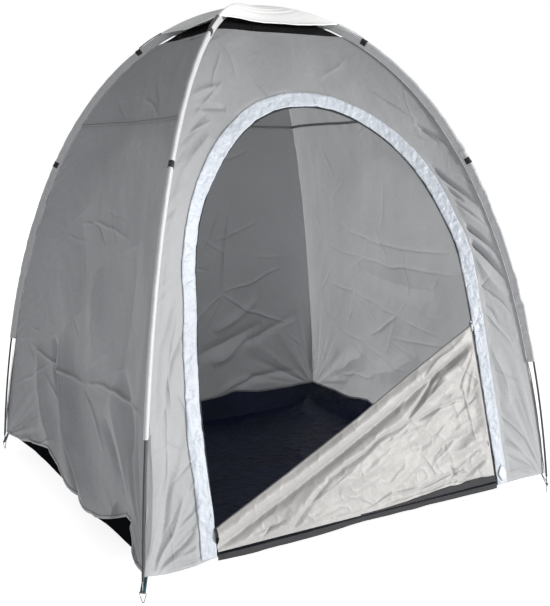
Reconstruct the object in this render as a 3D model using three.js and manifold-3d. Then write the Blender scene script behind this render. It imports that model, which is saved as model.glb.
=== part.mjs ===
// A square frame tent carried by two fibreglass poles that cross over its top, with a zipped arch
// door in the front wall. Millimetres, +Z up, ground at z = 0, front wall towards -Y.
import * as THREE from "three";
import Module from "manifold-3d";

// ---- driving dimensions ----
const FOOT_HALF = 1000; // half the side of the square through the four pole ends
const FOOT_Z = 80; // height of the pole ends above the ground
const ARC_SHOULDER_IN = 164; // how far the arc's lower control point leans in
const ARC_SHOULDER_Z = 1776; // height of that point above the pole ends
const ARC_CROWN_R = 470; // radius of the arc's upper control point
const ARC_RISE = 2161; // rise of the pole crossing above the pole ends
const POLE_R = 4.75;
const POLE_BORE_R = 3.3;
const SPIGOT_R = 2.9;
const SPIGOT_BORE_R = 2.1;
const SPIGOT_LENGTH = 40;
const POLE_SECTIONS = 6;
const POLE_CROSS_SHIFT = 5.6; // each pole is this far above or below the mean crossing height
const SEAM_OFFSET = 28; // ridge seam inside the pole, from the sleeve's end up
const SEAM_OFFSET_FOOT = 12; // ridge seam inside the pole at the hem
const SLEEVE_END_Z = 629; // lower mouth of each pole sleeve
const SLEEVE_TOP_R = 330; // upper mouth of each pole sleeve, from the tent's axis
const SLEEVE_INNER_R = 8;
const SLEEVE_CLOTH = 1;
const WALL_CLOTH = 1.6;
const HEM_Z = 98;
const HEM_BOW = 30; // the hems of the side and back walls bow in by this much
const SEAM_Z = 1720; // seam between the lower and the upper wall panels
const WALL_TOP_Z = 2078; // upper edge of the walls
const WALL_DRAW_IN = 0.55; // share of the way from the ridges to a straight line up the wall
const TUB_HALF = 872; // half the flat part of the groundsheet
const TUB_RIM_HALF = 973;
const TUB_RIM_Z = 104;
const TUB_CLOTH = 2;
const CAP_CORNER_R = 432; // roof cap corner, from the tent's axis, along a pole
const CAP_OVER_POLE = 14.5; // roof cap above the pole's centre line
const CAP_CLOTH = 1.4;
const ARCH_HALF = 760; // outer edge of the door trim at the sill
const ARCH_TAPER = 0.057; // how much the jambs close in for each mm of height
const ARCH_SPRING_Z = 1080;
const ARCH_TOP_Z = 1813;
const ARCH_BASE_Z = 112;
const TRIM_WIDTH = 62;
const FLAP_TOP_Z = 814; // where the flap's fold meets the zip
const FLAP_LEFT_Z = 205; // height of the fold at the left jamb
const FLAP_BASE_Z = 119;
const FLAP_LAYER_GAP = 14; // between the zipped layer and the one folded down behind it
const TAB_LOW_Z = 1533; // webbing tabs on the sleeves
const TAB_HIGH_Z = 2068;
const TAB_LENGTH = 28;
const PIN_R = 2.75;
const RING_WIRE_R = 2;

const BLACK = [0x1b1c1f, 0.72, 0];

// ---- curves ----
const v3 = (x, y, z) => new THREE.Vector3(x, y, z);
const lerp = (a, b, t) => a + (b - a) * t;
const clamp01 = (t) => Math.min(1, Math.max(0, t));

const ARC_N = 1200;
const FOOT_R = FOOT_HALF * Math.SQRT2;
const arc = []; // the pole's half arc in its own upright plane: radius, height, tangent, length
for (let i = 0; i <= ARC_N; i++) {
  const t = i / ARC_N;
  const s = 1 - t;
  const b = [s * s * s, 3 * s * s * t, 3 * s * t * t, t * t * t];
  const d = [3 * s * s, 6 * s * t, 3 * t * t];
  const px = [FOOT_R, FOOT_R - ARC_SHOULDER_IN, ARC_CROWN_R, 0];
  const pz = [0, ARC_SHOULDER_Z, ARC_RISE, ARC_RISE];
  const r = b.reduce((a, w, k) => a + w * px[k], 0);
  const z = FOOT_Z + b.reduce((a, w, k) => a + w * pz[k], 0);
  let tr = d.reduce((a, w, k) => a + w * (px[k + 1] - px[k]), 0);
  let tz = d.reduce((a, w, k) => a + w * (pz[k + 1] - pz[k]), 0);
  const l = Math.hypot(tr, tz);
  tr /= l;
  tz /= l;
  const back = arc[i - 1];
  const len = back ? back.len + Math.hypot(r - back.r, z - back.z) : 0;
  arc.push({ r, z, tr, tz, len });
}
const ARC_LENGTH = arc[ARC_N].len;

function lookUp(list, key, value) {
  const up = list[list.length - 1][key] > list[0][key];
  let lo = 0;
  let hi = list.length - 1;
  while (hi - lo > 1) {
    const mid = (lo + hi) >> 1;
    if (list[mid][key] < value === up) lo = mid;
    else hi = mid;
  }
  const f = (value - list[lo][key]) / (list[hi][key] - list[lo][key]);
  const out = {};
  for (const k of Object.keys(list[lo])) out[k] = lerp(list[lo][k], list[hi][k], f);
  return out;
}
const arcAtLength = (s) => lookUp(arc, "len", s);
const arcAtHeight = (z) => lookUp(arc, "z", z);
const arcAtRadius = (r) => lookUp(arc, "r", r);

// The ridge seam runs inside the pole, in the same upright plane.
const ridge = arc.map((p) => {
  const f = clamp01((p.z - HEM_Z) / (SLEEVE_END_Z - HEM_Z));
  const off = lerp(SEAM_OFFSET_FOOT, SEAM_OFFSET, f);
  return { r: p.r - off * p.tz, z: p.z + off * p.tr };
});
const ridgeAtHeight = (z) => lookUp(ridge, "z", z);
const wallHalf = (z) => ridgeAtHeight(z).r / Math.SQRT2;
const HEM_HALF = wallHalf(HEM_Z);
const TOP_HALF = wallHalf(WALL_TOP_Z);

// How far a wall lies inside the flat line between its two ridges.
function drawIn(u, z, bow) {
  const f = clamp01((z - HEM_Z) / (WALL_TOP_Z - HEM_Z));
  const line = lerp(HEM_HALF, TOP_HALF, f);
  const mid = WALL_DRAW_IN * (wallHalf(z) - line);
  const edge = bow * (1 - f) ** 6 + 12 * f ** 6;
  return mid * (1 - Math.abs(u) ** 3.5) + edge * (1 - u * u);
}
// A wall's middle surface: across is the distance along the wall, out is away from the tent.
function wallPoint(across, z, bow, turn, out = 0) {
  const h = wallHalf(z);
  const f = (a, w) => -(wallHalf(w) - drawIn(a / wallHalf(w), w, bow));
  const y = -(h - drawIn(across / h, z, bow));
  const da = (f(across + 1, z) - f(across - 1, z)) / 2;
  const dz = (f(across, z + 1) - f(across, z - 1)) / 2;
  const n = v3(da, -1, dz).normalize();
  const p = v3(across, y, z).addScaledVector(n, out);
  return p.applyAxisAngle(v3(0, 0, 1), turn);
}

// ---- closed bodies from points ----
function body(points, faces) {
  const g = new THREE.BufferGeometry();
  g.setAttribute("position", new THREE.Float32BufferAttribute(points.flatMap((p) => [p.x, p.y, p.z]), 3));
  g.setIndex(faces.flat());
  const flat = g.toNonIndexed();
  flat.computeVertexNormals();
  return flat;
}
// A thin body either side of a grid of points; its outward side is along d(row) x d(column).
// With crossed set, the cells of two opposite quarters are split the other way, as a pyramid needs.
function sheet(grid, thickness, crossed = false) {
  const n = grid.length;
  const m = grid[0].length;
  const side = [[], []];
  for (let i = 0; i < n; i++) {
    for (let j = 0; j < m; j++) {
      const a = grid[Math.min(i + 1, n - 1)][j].clone().sub(grid[Math.max(i - 1, 0)][j]);
      const b = grid[i][Math.min(j + 1, m - 1)].clone().sub(grid[i][Math.max(j - 1, 0)]);
      const normal = a.cross(b).normalize();
      side[0].push(grid[i][j].clone().addScaledVector(normal, thickness / 2));
      side[1].push(grid[i][j].clone().addScaledVector(normal, -thickness / 2));
    }
  }
  const back = n * m;
  const id = (i, j) => i * m + j;
  const faces = [];
  for (let i = 0; i < n - 1; i++) {
    for (let j = 0; j < m - 1; j++) {
      let [a, b, c, d] = [id(i, j), id(i + 1, j), id(i + 1, j + 1), id(i, j + 1)];
      if (crossed && (2 * i < n - 1) !== (2 * j < m - 1)) [a, b, c, d] = [b, c, d, a];
      faces.push([a, b, c], [a, c, d]);
      faces.push([back + a, back + c, back + b], [back + a, back + d, back + c]);
    }
  }
  const rim = [];
  for (let i = 0; i < n - 1; i++) rim.push(id(i, 0));
  for (let j = 0; j < m - 1; j++) rim.push(id(n - 1, j));
  for (let i = n - 1; i > 0; i--) rim.push(id(i, m - 1));
  for (let j = m - 1; j > 0; j--) rim.push(id(0, j));
  rim.forEach((a, k) => {
    const b = rim[(k + 1) % rim.length];
    faces.push([a, back + a, back + b], [a, back + b, b]);
  });
  return body([...side[0], ...side[1]], faces);
}
function grid(n, m, at) {
  const out = [];
  for (let i = 0; i <= n; i++) {
    const row = [];
    for (let j = 0; j <= m; j++) row.push(at(i / n, j / m));
    out.push(row);
  }
  return out;
}
// A body swept through loops of points that turn counter-clockwise seen from beyond the last loop.
// With ends "cap" each end is closed by a fan; with "band" the second half of each loop runs back
// along the first half, and the ends are strips between the two.
function sweep(loops, ends) {
  const n = loops[0].length;
  const points = loops.flat();
  const faces = [];
  for (let k = 0; k < loops.length - 1; k++) {
    for (let i = 0; i < n; i++) {
      const a = k * n + i;
      const b = k * n + ((i + 1) % n);
      faces.push([a, b, b + n], [a, b + n, a + n]);
    }
  }
  const last = (loops.length - 1) * n;
  if (ends === "cap") {
    for (let i = 1; i < n - 1; i++) {
      faces.push([0, i + 1, i], [last, last + i, last + i + 1]);
    }
  } else {
    for (let i = 0; i < n / 2 - 1; i++) {
      const [a, b, c, d] = [i, i + 1, n - 2 - i, n - 1 - i];
      faces.push([a, c, b], [a, d, c], [last + a, last + b, last + c], [last + a, last + c, last + d]);
    }
  }
  return body(points, faces);
}
// A tube: outer loops forward, inner loops backward, joined at both ends.
function tube(outer, inner) {
  const n = outer[0].length;
  const loops = [...outer, ...[...inner].reverse()];
  const points = loops.flat();
  const faces = [];
  for (let k = 0; k < loops.length; k++) {
    const next = (k + 1) % loops.length;
    for (let i = 0; i < n; i++) {
      const j = (i + 1) % n;
      const [a, b, c, d] = [k * n + i, k * n + j, next * n + j, next * n + i];
      faces.push([a, b, c], [a, c, d]);
    }
  }
  return body(points, faces);
}

// ---- the four ridges ----
// Unit vectors of a corner: out along the diagonal, and level across it.
const CORNERS = [
  ["front_left", -1, -1],
  ["front_right", 1, -1],
  ["back_right", 1, 1],
  ["back_left", -1, 1],
].map(([name, sx, sy]) => {
  const out = v3(sx, sy, 0).normalize();
  return { name, out, level: v3(0, 0, 1).cross(out), rise: 0 };
});
// Pole A runs front left to back right and crosses over pole B.
const POLE_RISE = { front_left: 1, back_right: 1, front_right: -1, back_left: -1 };
// Extra height of a pole over the mean arc, growing towards the crossing.
const crossShift = (name, p) => POLE_RISE[name] * POLE_CROSS_SHIFT * clamp01(1 - p.r / 300);
// A point in a ridge's cross-section: n outward from the pole's centre line, b level.
function ridgePoint(corner, p, n, b) {
  const normal = corner.out.clone().multiplyScalar(p.tz);
  normal.z = -p.tr;
  return corner.out
    .clone()
    .multiplyScalar(p.r)
    .add(v3(0, 0, p.z + crossShift(corner.name, p)))
    .addScaledVector(normal, n)
    .addScaledVector(corner.level, b);
}
// Outline of a sleeve round the pole, drawn in to a flange at the ridge seam.
function sleeveOutline(grow, flangeAt) {
  const r = SLEEVE_INNER_R + grow;
  const out = [];
  for (let k = 0; k <= 8; k++) {
    const a = lerp(-112, 112, k / 8) * (Math.PI / 180);
    out.push([r * Math.cos(a), r * Math.sin(a)]);
  }
  out.push([lerp(-r * 0.4, flangeAt, 0.55), 0.6 + grow * 0.9 + 1.6]);
  out.push([flangeAt, 0.35 + grow]);
  out.push([flangeAt, -0.35 - grow]);
  out.push([lerp(-r * 0.4, flangeAt, 0.55), -(0.6 + grow * 0.9 + 1.6)]);
  return out;
}
function stations(from, to, step) {
  const n = Math.max(1, Math.round((to - from) / step));
  return Array.from({ length: n + 1 }, (_, k) => lerp(from, to, k / n));
}

// ---- meshes ----
const tent = new THREE.Group();
tent.name = "pole_tent";
function add(name, geometry, [color, roughness, metalness]) {
  const material = new THREE.MeshStandardMaterial({ color, roughness, metalness });
  material.name = name;
  const mesh = new THREE.Mesh(geometry, material);
  mesh.name = name;
  tent.add(mesh);
}
const SHELL = [0xa9abae, 0.7, 0];
const FLAP = [0xd2d0ca, 0.6, 0];
const SILVER = [0xe6e7e9, 0.5, 0];
const TRIM = [0xd5dfee, 0.6, 0];
const FLOOR = [0x15171d, 0.35, 0];
const MESH = [0x202226, 0.8, 0];
const CAP = [0xf2f3f4, 0.6, 0];
const SILL = [0x4b4d50, 0.7, 0];
const FIBRE = [0x25282a, 0.4, 0];
const STEEL = [0xc9cccf, 0.3, 1];
const TEAL = [0x24404a, 0.75, 0];
const ZIP = [0x2c2f36, 0.7, 0];
const ZINC = [0x8d9094, 0.35, 1];

// groundsheet: flat on the ground, its rim raised all round
function tubPoint(u, v) {
  const a = 2 * u - 1;
  const b = 2 * v - 1;
  const rho = Math.max(Math.abs(a), Math.abs(b), 1e-9);
  const flat = 0.8;
  const inner = clamp01(rho / flat);
  const outer = clamp01((rho - flat) / (1 - flat));
  const half = lerp(TUB_HALF * inner, TUB_RIM_HALF, outer);
  const other = Math.min(Math.abs(a), Math.abs(b)) / rho;
  const pull = HEM_BOW * outer * (1 - other * other) * (Math.abs(b) >= Math.abs(a) && b < 0 ? 0 : 1);
  const scale = half / rho;
  let x = a * scale;
  let y = b * scale;
  if (Math.abs(a) > Math.abs(b)) x -= Math.sign(a) * pull;
  else y -= Math.sign(b) * pull;
  return v3(x, y, TUB_CLOTH / 2 + (TUB_RIM_Z - TUB_CLOTH / 2) * outer);
}
add("groundsheet", sheet(grid(10, 10, tubPoint), TUB_CLOTH, true), FLOOR);

// side and back walls, in a lower and an upper panel
const EDGE_GAP = 3; // from the ridge plane to the edge of a wall's cloth
function panel(z0, z1, turn, bow, n, m) {
  return sheet(
    grid(n, m, (s, t) => {
      const z = lerp(z0, z1, t);
      return wallPoint(lerp(-1, 1, s) * (wallHalf(z) - EDGE_GAP), z, bow, turn);
    }),
    WALL_CLOTH,
  );
}
for (const [name, turn] of [["left", -Math.PI / 2], ["right", Math.PI / 2], ["back", Math.PI]]) {
  add("wall_" + name + "_lower", panel(HEM_Z, SEAM_Z - 0.5, turn, HEM_BOW, 10, 9), SHELL);
  add("wall_" + name + "_upper", panel(SEAM_Z + 0.5, WALL_TOP_Z, turn, HEM_BOW, 10, 4), SHELL);
}

// the door's arch, as half widths at a height
const archHalf = (z, inset) => ARCH_HALF - ARCH_TAPER * (z - ARCH_BASE_Z) - inset;
// A point of the arch line, inset from the trim's outer edge; s runs 0..1 from left to right.
const archLine = [];
{
  const raw = [];
  for (let k = 0; k <= 40; k++) raw.push([archHalf(lerp(HEM_Z, ARCH_SPRING_Z, k / 40), 0), lerp(HEM_Z, ARCH_SPRING_Z, k / 40)]);
  for (let k = 1; k <= 60; k++) {
    const a = (k / 60) * (Math.PI / 2);
    const z = lerp(ARCH_SPRING_Z, ARCH_TOP_Z, Math.sin(a));
    raw.push([archHalf(z, 0) * Math.cos(a), z]);
  }
  let len = 0;
  raw.forEach(([x, z], i) => {
    if (i) len += Math.hypot(x - raw[i - 1][0], z - raw[i - 1][1]);
    const a = raw[Math.max(i - 1, 0)];
    const b = raw[Math.min(i + 1, raw.length - 1)];
    const l = Math.hypot(b[0] - a[0], b[1] - a[1]);
    archLine.push({ len, x, z, nx: -(b[1] - a[1]) / l, nz: (b[0] - a[0]) / l });
  });
  archLine[archLine.length - 1].nx = 0;
  archLine[archLine.length - 1].nz = -1;
}
const ARCH_LENGTH = archLine[archLine.length - 1].len;
// sideways inset measured along the level keeps the jambs' edges in line with one another
function archPoint(s, inset) {
  const half = s <= 0.5 ? s * 2 : (1 - s) * 2;
  const p = lookUp(archLine, "len", half * ARCH_LENGTH);
  const l = Math.hypot(p.nx, p.nz);
  const x = p.x + (p.nx / l) * inset;
  const z = p.z + (p.nz / l) * inset;
  return [s <= 0.5 ? -x : x, z];
}
const ARCH_STEPS = 60;
function archStrip(insetA, insetB, out, thickness, across) {
  return sheet(
    grid(ARCH_STEPS, across, (s, t) => {
      const [x, z] = archPoint(s, lerp(insetB, insetA, t));
      return wallPoint(x, z, 0, 0, out);
    }),
    thickness,
  );
}

// front wall: from the two ridges and the upper edge in to the door's arch
const OPENING_INSET = TRIM_WIDTH - 14;
add(
  "wall_front",
  (() => {
    const corner = 0.36;
    const g = grid(ARCH_STEPS, 5, (s, t) => {
      const [ax, az] = archPoint(s, OPENING_INSET);
      let bx;
      let bz;
      if (s < corner || s > 1 - corner) {
        const f = (s < corner ? s : 1 - s) / corner;
        bz = lerp(HEM_Z, WALL_TOP_Z, f);
        bx = (wallHalf(bz) - EDGE_GAP) * (s < corner ? -1 : 1);
      } else {
        bz = WALL_TOP_Z;
        bx = lerp(-1, 1, (s - corner) / (1 - 2 * corner)) * (wallHalf(bz) - EDGE_GAP);
      }
      return wallPoint(lerp(ax, bx, t), lerp(az, bz, t), 0, 0);
    });
    return sheet(g, WALL_CLOTH);
  })(),
  SHELL,
);
add("door_trim", archStrip(0, TRIM_WIDTH, 2, 1.4, 2), TRIM);
add("jamb_zip_tape", archStrip(OPENING_INSET + 0.8, TRIM_WIDTH - 0.5, 0, 1, 1), ZIP);

// strip of the sill under the door
const SILL_HALF = archHalf(HEM_Z, TRIM_WIDTH) - 1;
add(
  "sill_strip",
  sheet(grid(12, 2, (s, t) => wallPoint(lerp(-1, 1, s) * SILL_HALF, lerp(82, 110, t), 0, 0)), 1.6),
  SILL,
);

// door flap: zipped layer up to the diagonal fold, and the layer folded down behind it
const CHAIN_INSET = TRIM_WIDTH + 4.8;
const FLAP_TAPE_IN = TRIM_WIDTH + 10.1;
const FLAP_TAPE_OUT = TRIM_WIDTH + 18;
const FLAP_EDGE = TRIM_WIDTH + 18.6;
const jambX = archHalf;
const foldZ = (s) => lerp(FLAP_LEFT_Z, FLAP_TOP_Z - 8, s) - 14 * Math.sin(Math.PI * s);
add(
  "door_flap",
  (() => {
    const left = -jambX(FLAP_LEFT_Z, FLAP_EDGE) - 4;
    const n = 16;
    const rows = [];
    for (let i = 0; i <= n; i++) {
      const s = i / n;
      const top = foldZ(s);
      const col = [];
      const at = (z, out) => {
        const right = jambX(z, FLAP_EDGE);
        return wallPoint(lerp(left, right, s), z, 0, 0, out);
      };
      for (let k = 0; k <= 5; k++) col.push(at(lerp(FLAP_BASE_Z, top - 8, k / 5), 0));
      const r = FLAP_LAYER_GAP / 2;
      for (const deg of [45, 90, 135]) {
        const a = (deg * Math.PI) / 180;
        col.push(at(top - 8 + r * Math.sin(a), -r + r * Math.cos(a)));
      }
      for (let k = 0; k <= 4; k++) col.push(at(lerp(top - 8, FLAP_BASE_Z + 6, k / 4), -FLAP_LAYER_GAP));
      rows.push(col);
    }
    return sheet(rows, 1.5);
  })(),
  FLAP,
);
add(
  "flap_zip_tape",
  sheet(
    grid(1, 8, (s, t) => {
      const z = lerp(FLAP_BASE_Z, FLAP_TOP_Z - 20, t);
      return wallPoint(jambX(z, lerp(FLAP_TAPE_OUT, FLAP_TAPE_IN, s)), z, 0, 0);
    }),
    1,
  ),
  ZIP,
);

// roof of netting between the walls' upper edges
const ROOF_R = ridgeAtHeight(WALL_TOP_Z + 2).r;
add(
  "roof_mesh",
  sheet(
    grid(8, 8, (u, v) => {
      const a = 2 * u - 1;
      const b = 2 * v - 1;
      const rho = Math.max(Math.abs(a), Math.abs(b));
      const other = rho ? Math.min(Math.abs(a), Math.abs(b)) / rho : 1;
      const p = lookUp(ridge, "r", ROOF_R * rho);
      const half = (ROOF_R / Math.SQRT2) * rho - 2.5 * rho - 12 * rho ** 6 * (1 - other * other);
      const scale = rho ? half / rho : 0;
      return v3(a * scale, b * scale, p.z - POLE_CROSS_SHIFT);
    }),
    1,
    true,
  ),
  MESH,
);

// pole sleeves and the webbing tabs round them
for (const c of CORNERS) {
  const from = arcAtHeight(SLEEVE_END_Z).len;
  const to = arcAtRadius(SLEEVE_TOP_R).len;
  const along = stations(from, to, 118);
  const flange = -SEAM_OFFSET + 1.2;
  const loops = (grow, inset) =>
    along.map((s) => {
      const p = arcAtLength(s);
      return sleeveOutline(grow, flange + inset).map(([n, b]) => ridgePoint(c, p, n, b));
    });
  add("pole_sleeve_" + c.name, tube(loops(SLEEVE_CLOTH, 0), loops(0, 1)), SILVER);
  for (const [level, z] of [["lower", TAB_LOW_Z], ["upper", TAB_HIGH_Z]]) {
    const mid = arcAtHeight(z).len;
    const tab = stations(mid - TAB_LENGTH / 2, mid + TAB_LENGTH / 2, TAB_LENGTH).map((s) => {
      const p = arcAtLength(s);
      const path = (grow) => {
        const r = SLEEVE_INNER_R + SLEEVE_CLOTH + grow;
        const pts = [[-15, -5.6 - grow]];
        for (let k = 0; k <= 8; k++) {
          const a = lerp(-112, 112, k / 8) * (Math.PI / 180);
          pts.push([r * Math.cos(a), r * Math.sin(a)]);
        }
        pts.push([-15, 5.6 + grow]);
        return pts;
      };
      return [...path(2), ...path(0.7).reverse()].map(([n, b]) => ridgePoint(c, p, n, b));
    });
    add("webbing_tab_" + level + "_" + c.name, sweep(tab, "band"), BLACK);
  }
}

// roof cap, its hem and the straps at its corners
const capZ = (m) => arcAtRadius(Math.max(m * Math.SQRT2, 0.01)).z + CAP_OVER_POLE;
const CAP_HALF = CAP_CORNER_R / Math.SQRT2;
add(
  "roof_cap",
  sheet(
    grid(12, 12, (u, v) => {
      const a = (2 * u - 1) * CAP_HALF;
      const b = (2 * v - 1) * CAP_HALF;
      const m = Math.max(Math.abs(a), Math.abs(b));
      const other = m ? Math.min(Math.abs(a), Math.abs(b)) / m : 1;
      const slack = 5 * (1 - other * other) * clamp01(m / 200);
      return v3(a, b, capZ(m) - slack);
    }),
    CAP_CLOTH,
    true,
  ),
  CAP,
);
add(
  "cap_hem",
  (() => {
    const loops = [];
    const sides = 4;
    const per = 12;
    for (let k = 0; k < sides * per; k++) {
      const q = Math.floor(k / per);
      const f = lerp(-1, 1, (k % per) / per);
      const at = (half, drop) => {
        const slack = 5 * (1 - f * f);
        const p = v3(f * half, -half, capZ(half) - slack - drop);
        return p.applyAxisAngle(v3(0, 0, 1), (q * Math.PI) / 2);
      };
      const inner = CAP_HALF - 15;
      loops.push([at(CAP_HALF, 1.8), at(CAP_HALF, 2.9), at(inner, 2.9), at(inner, 1.8)]);
    }
    const n = 4;
    const points = loops.flat();
    const faces = [];
    for (let k = 0; k < loops.length; k++) {
      const next = (k + 1) % loops.length;
      for (let i = 0; i < n; i++) {
        const j = (i + 1) % n;
        const [a, b, c, d] = [k * n + i, k * n + j, next * n + j, next * n + i];
        faces.push([a, b, c], [a, c, d]);
      }
    }
    return body(points, faces);
  })(),
  CAP,
);
for (const c of CORNERS) {
  const from = arcAtRadius(CAP_CORNER_R + 3).len;
  const to = arcAtHeight(TAB_HIGH_Z).len + TAB_LENGTH / 2 + 2;
  const loops = stations(to, from, 40).map((s) => {
    const p = arcAtLength(s);
    const box = [[13.4, -7], [13.4, 7], [12.1, 7], [12.1, -7]];
    return box.map(([n, b]) => ridgePoint(c, p, n, b));
  });
  add("cap_strap_" + c.name, sweep(loops, "cap"), BLACK);
}

// ---- poles ----
const RIM = 8;
function poleLoop(corners, s, r) {
  // s runs from one pole end, over the crossing, to the other end
  const first = s <= ARC_LENGTH;
  const corner = first ? corners[0] : corners[1];
  const p = arcAtLength(first ? s : 2 * ARC_LENGTH - s);
  return Array.from({ length: RIM }, (_, k) => {
    const a = ((k + 0.5) / RIM) * 2 * Math.PI;
    const b = Math.sin(a) * (first ? 1 : -1);
    return ridgePoint(corner, p, r * Math.cos(a), r * b);
  });
}
const cornerOf = Object.fromEntries(CORNERS.map((c) => [c.name, c]));
for (const [pole, ends] of [["a", ["front_left", "back_right"]], ["b", ["front_right", "back_left"]]]) {
  const pair = ends.map((e) => cornerOf[e]);
  const length = (2 * ARC_LENGTH) / POLE_SECTIONS;
  for (let k = 0; k < POLE_SECTIONS; k++) {
    const s0 = k * length + (k ? 0.2 : 0);
    const s1 = (k + 1) * length - (k < POLE_SECTIONS - 1 ? 0.2 : 0);
    const spigot = k < POLE_SECTIONS - 1;
    const main = [s0, s0 + 20, s0 + SPIGOT_LENGTH + 2, ...stations(s0 + 120, s1 - 60, 120), s1 - 8, s1];
    const outer = main.map((s) => poleLoop(pair, s, POLE_R));
    const inner = main.slice(0, spigot ? -2 : undefined).map((s) => poleLoop(pair, s, POLE_BORE_R));
    if (spigot) {
      for (const s of [s1, s1 + 20, s1 + SPIGOT_LENGTH]) outer.push(poleLoop(pair, s, SPIGOT_R));
      for (const s of [s1 - 60 + 6, s1, s1 + 20, s1 + SPIGOT_LENGTH]) inner.push(poleLoop(pair, s, SPIGOT_BORE_R));
    }
    add("pole_" + pole + "_section_" + (k + 1), tube(outer, inner), FIBRE);
  }
}

// ---- solids joined from simple shapes ----
const wasm = await Module();
wasm.setup();
function solid(geometry) {
  const g = geometry.index ? geometry.toNonIndexed() : geometry;
  const pos = g.getAttribute("position");
  const key = new Map();
  const vert = [];
  const tri = [];
  for (let i = 0; i < pos.count; i++) {
    const p = [pos.getX(i), pos.getY(i), pos.getZ(i)];
    const k = p.map((c) => Math.round(c * 1e4)).join();
    if (!key.has(k)) {
      key.set(k, vert.length / 3);
      vert.push(...p);
    }
    tri.push(key.get(k));
  }
  const kept = [];
  for (let i = 0; i < tri.length; i += 3) {
    const [a, b, c] = tri.slice(i, i + 3);
    if (a !== b && b !== c && a !== c) kept.push(a, b, c);
  }
  const mesh = new wasm.Mesh({
    numProp: 3,
    vertProperties: new Float32Array(vert),
    triVerts: new Uint32Array(kept),
  });
  return new wasm.Manifold(mesh);
}
function geometryOf(manifold) {
  const m = manifold.getMesh();
  const points = [];
  for (let i = 0; i < m.numVert; i++) {
    points.push(v3(...m.vertProperties.subarray(i * m.numProp, i * m.numProp + 3)));
  }
  const faces = [];
  for (let i = 0; i < m.triVerts.length; i += 3) faces.push([...m.triVerts.subarray(i, i + 3)]);
  return body(points, faces);
}
// A rod of round section through points, turned in the plane whose normal is given.
function wire(points, normal, r, closed, sides = 8) {
  const n = points.length;
  const loops = points.map((p, i) => {
    const before = points[closed ? (i + n - 1) % n : Math.max(i - 1, 0)];
    const after = points[closed ? (i + 1) % n : Math.min(i + 1, n - 1)];
    const t = after.clone().sub(before).normalize();
    const e = normal.clone();
    const f = t.clone().cross(e);
    return Array.from({ length: sides }, (_, k) => {
      const a = (k / sides) * 2 * Math.PI;
      return p.clone().addScaledVector(e, r * Math.sin(a)).addScaledVector(f, -r * Math.cos(a));
    });
  });
  if (!closed) return sweep(loops, "cap");
  const faces = [];
  for (let k = 0; k < n; k++) {
    const next = (k + 1) % n;
    for (let i = 0; i < sides; i++) {
      const j = (i + 1) % sides;
      const [a, b, c, d] = [k * sides + i, k * sides + j, next * sides + j, next * sides + i];
      faces.push([a, b, c], [a, c, d]);
    }
  }
  return body(loops.flat(), faces);
}
// A box set by its centre, three half sizes and three unit vectors.
function block(centre, half, axes) {
  const g = new THREE.BoxGeometry(2 * half[0], 2 * half[1], 2 * half[2]);
  const m = new THREE.Matrix4().makeBasis(...axes);
  m.setPosition(centre);
  return g.applyMatrix4(m);
}

// ---- corner hardware: pin in the pole's end, three-sided ring, webbing loop ----
const foot = arc[0];
const PIN_DROP = 38; // along the pole from its end down to the ring's bar
for (const c of CORNERS) {
  const at = (n, z, b = 0) => c.out.clone().multiplyScalar(n).add(v3(0, 0, z)).addScaledVector(c.level, b);
  const bar = [FOOT_R - foot.tr * PIN_DROP, FOOT_Z - foot.tz * PIN_DROP];
  const along = (s) => at(FOOT_R + foot.tr * s, FOOT_Z + foot.tz * s);
  const rod = wire([along(-PIN_DROP + 4.4), along(36)], c.level, PIN_R, false, 10);
  const eye = wire(
    Array.from({ length: 12 }, (_, k) => {
      const a = (k / 12) * 2 * Math.PI;
      return at(bar[0] + 4.4 * Math.cos(a), bar[1] + 4.4 * Math.sin(a));
    }),
    c.level,
    1.5,
    true,
  );
  add("corner_pin_" + c.name, geometryOf(solid(rod).add(solid(eye))), STEEL);

  const ring = [];
  const round = (b, z, r, a0, a1, n) => {
    for (let k = 0; k <= n; k++) {
      const a = (lerp(a0, a1, k / n) * Math.PI) / 180;
      ring.push(at(bar[0], z + r * Math.sin(a), b + r * Math.cos(a)));
    }
  };
  round(10, bar[1] - 3.5, 3.5, 90, -22, 5);
  round(0, 7.6, 4.2, -22, -158, 6);
  round(-10, bar[1] - 3.5, 3.5, 202, 90, 5);
  add("corner_ring_" + c.name, wire(ring, c.out, RING_WIRE_R, true), STEEL);

  // the webbing runs from the hem's corner, round the ring's bar and back
  const loopR = RING_WIRE_R + 1;
  const top = [bar[0] - 26, 90];
  const lean = Math.atan2(top[1] - bar[1], top[0] - bar[0]);
  const profile = (r, lift) => {
    const pts = [];
    const far = 56;
    const side = (sign) => [
      bar[0] + far * Math.cos(lean) + sign * lift * Math.cos(lean - Math.PI / 2),
      bar[1] + far * Math.sin(lean) + sign * lift * Math.sin(lean - Math.PI / 2),
    ];
    pts.push(side(-1));
    for (let k = 0; k <= 8; k++) {
      const a = lean + Math.PI / 2 + (k / 8) * Math.PI;
      pts.push([bar[0] + r * Math.cos(a), bar[1] + r * Math.sin(a)]);
    }
    pts.push(side(1));
    return pts;
  };
  const band = [...profile(loopR + 1.4, 2.2), ...profile(loopR, 0.8).reverse()];
  const loops = [9.5, -9.5].map((b) => band.map(([n, z]) => at(n, z, b)));
  const slot = block(
    at(bar[0] + 7 * Math.cos(lean), bar[1] + 7 * Math.sin(lean)),
    [5, 18, 20],
    [c.out.clone().cross(v3(0, 0, 1)), c.out, v3(0, 0, 1)],
  );
  add("corner_webbing_" + c.name, geometryOf(solid(sweep(loops, "band")).subtract(solid(slot))), TEAL);
}

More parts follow.
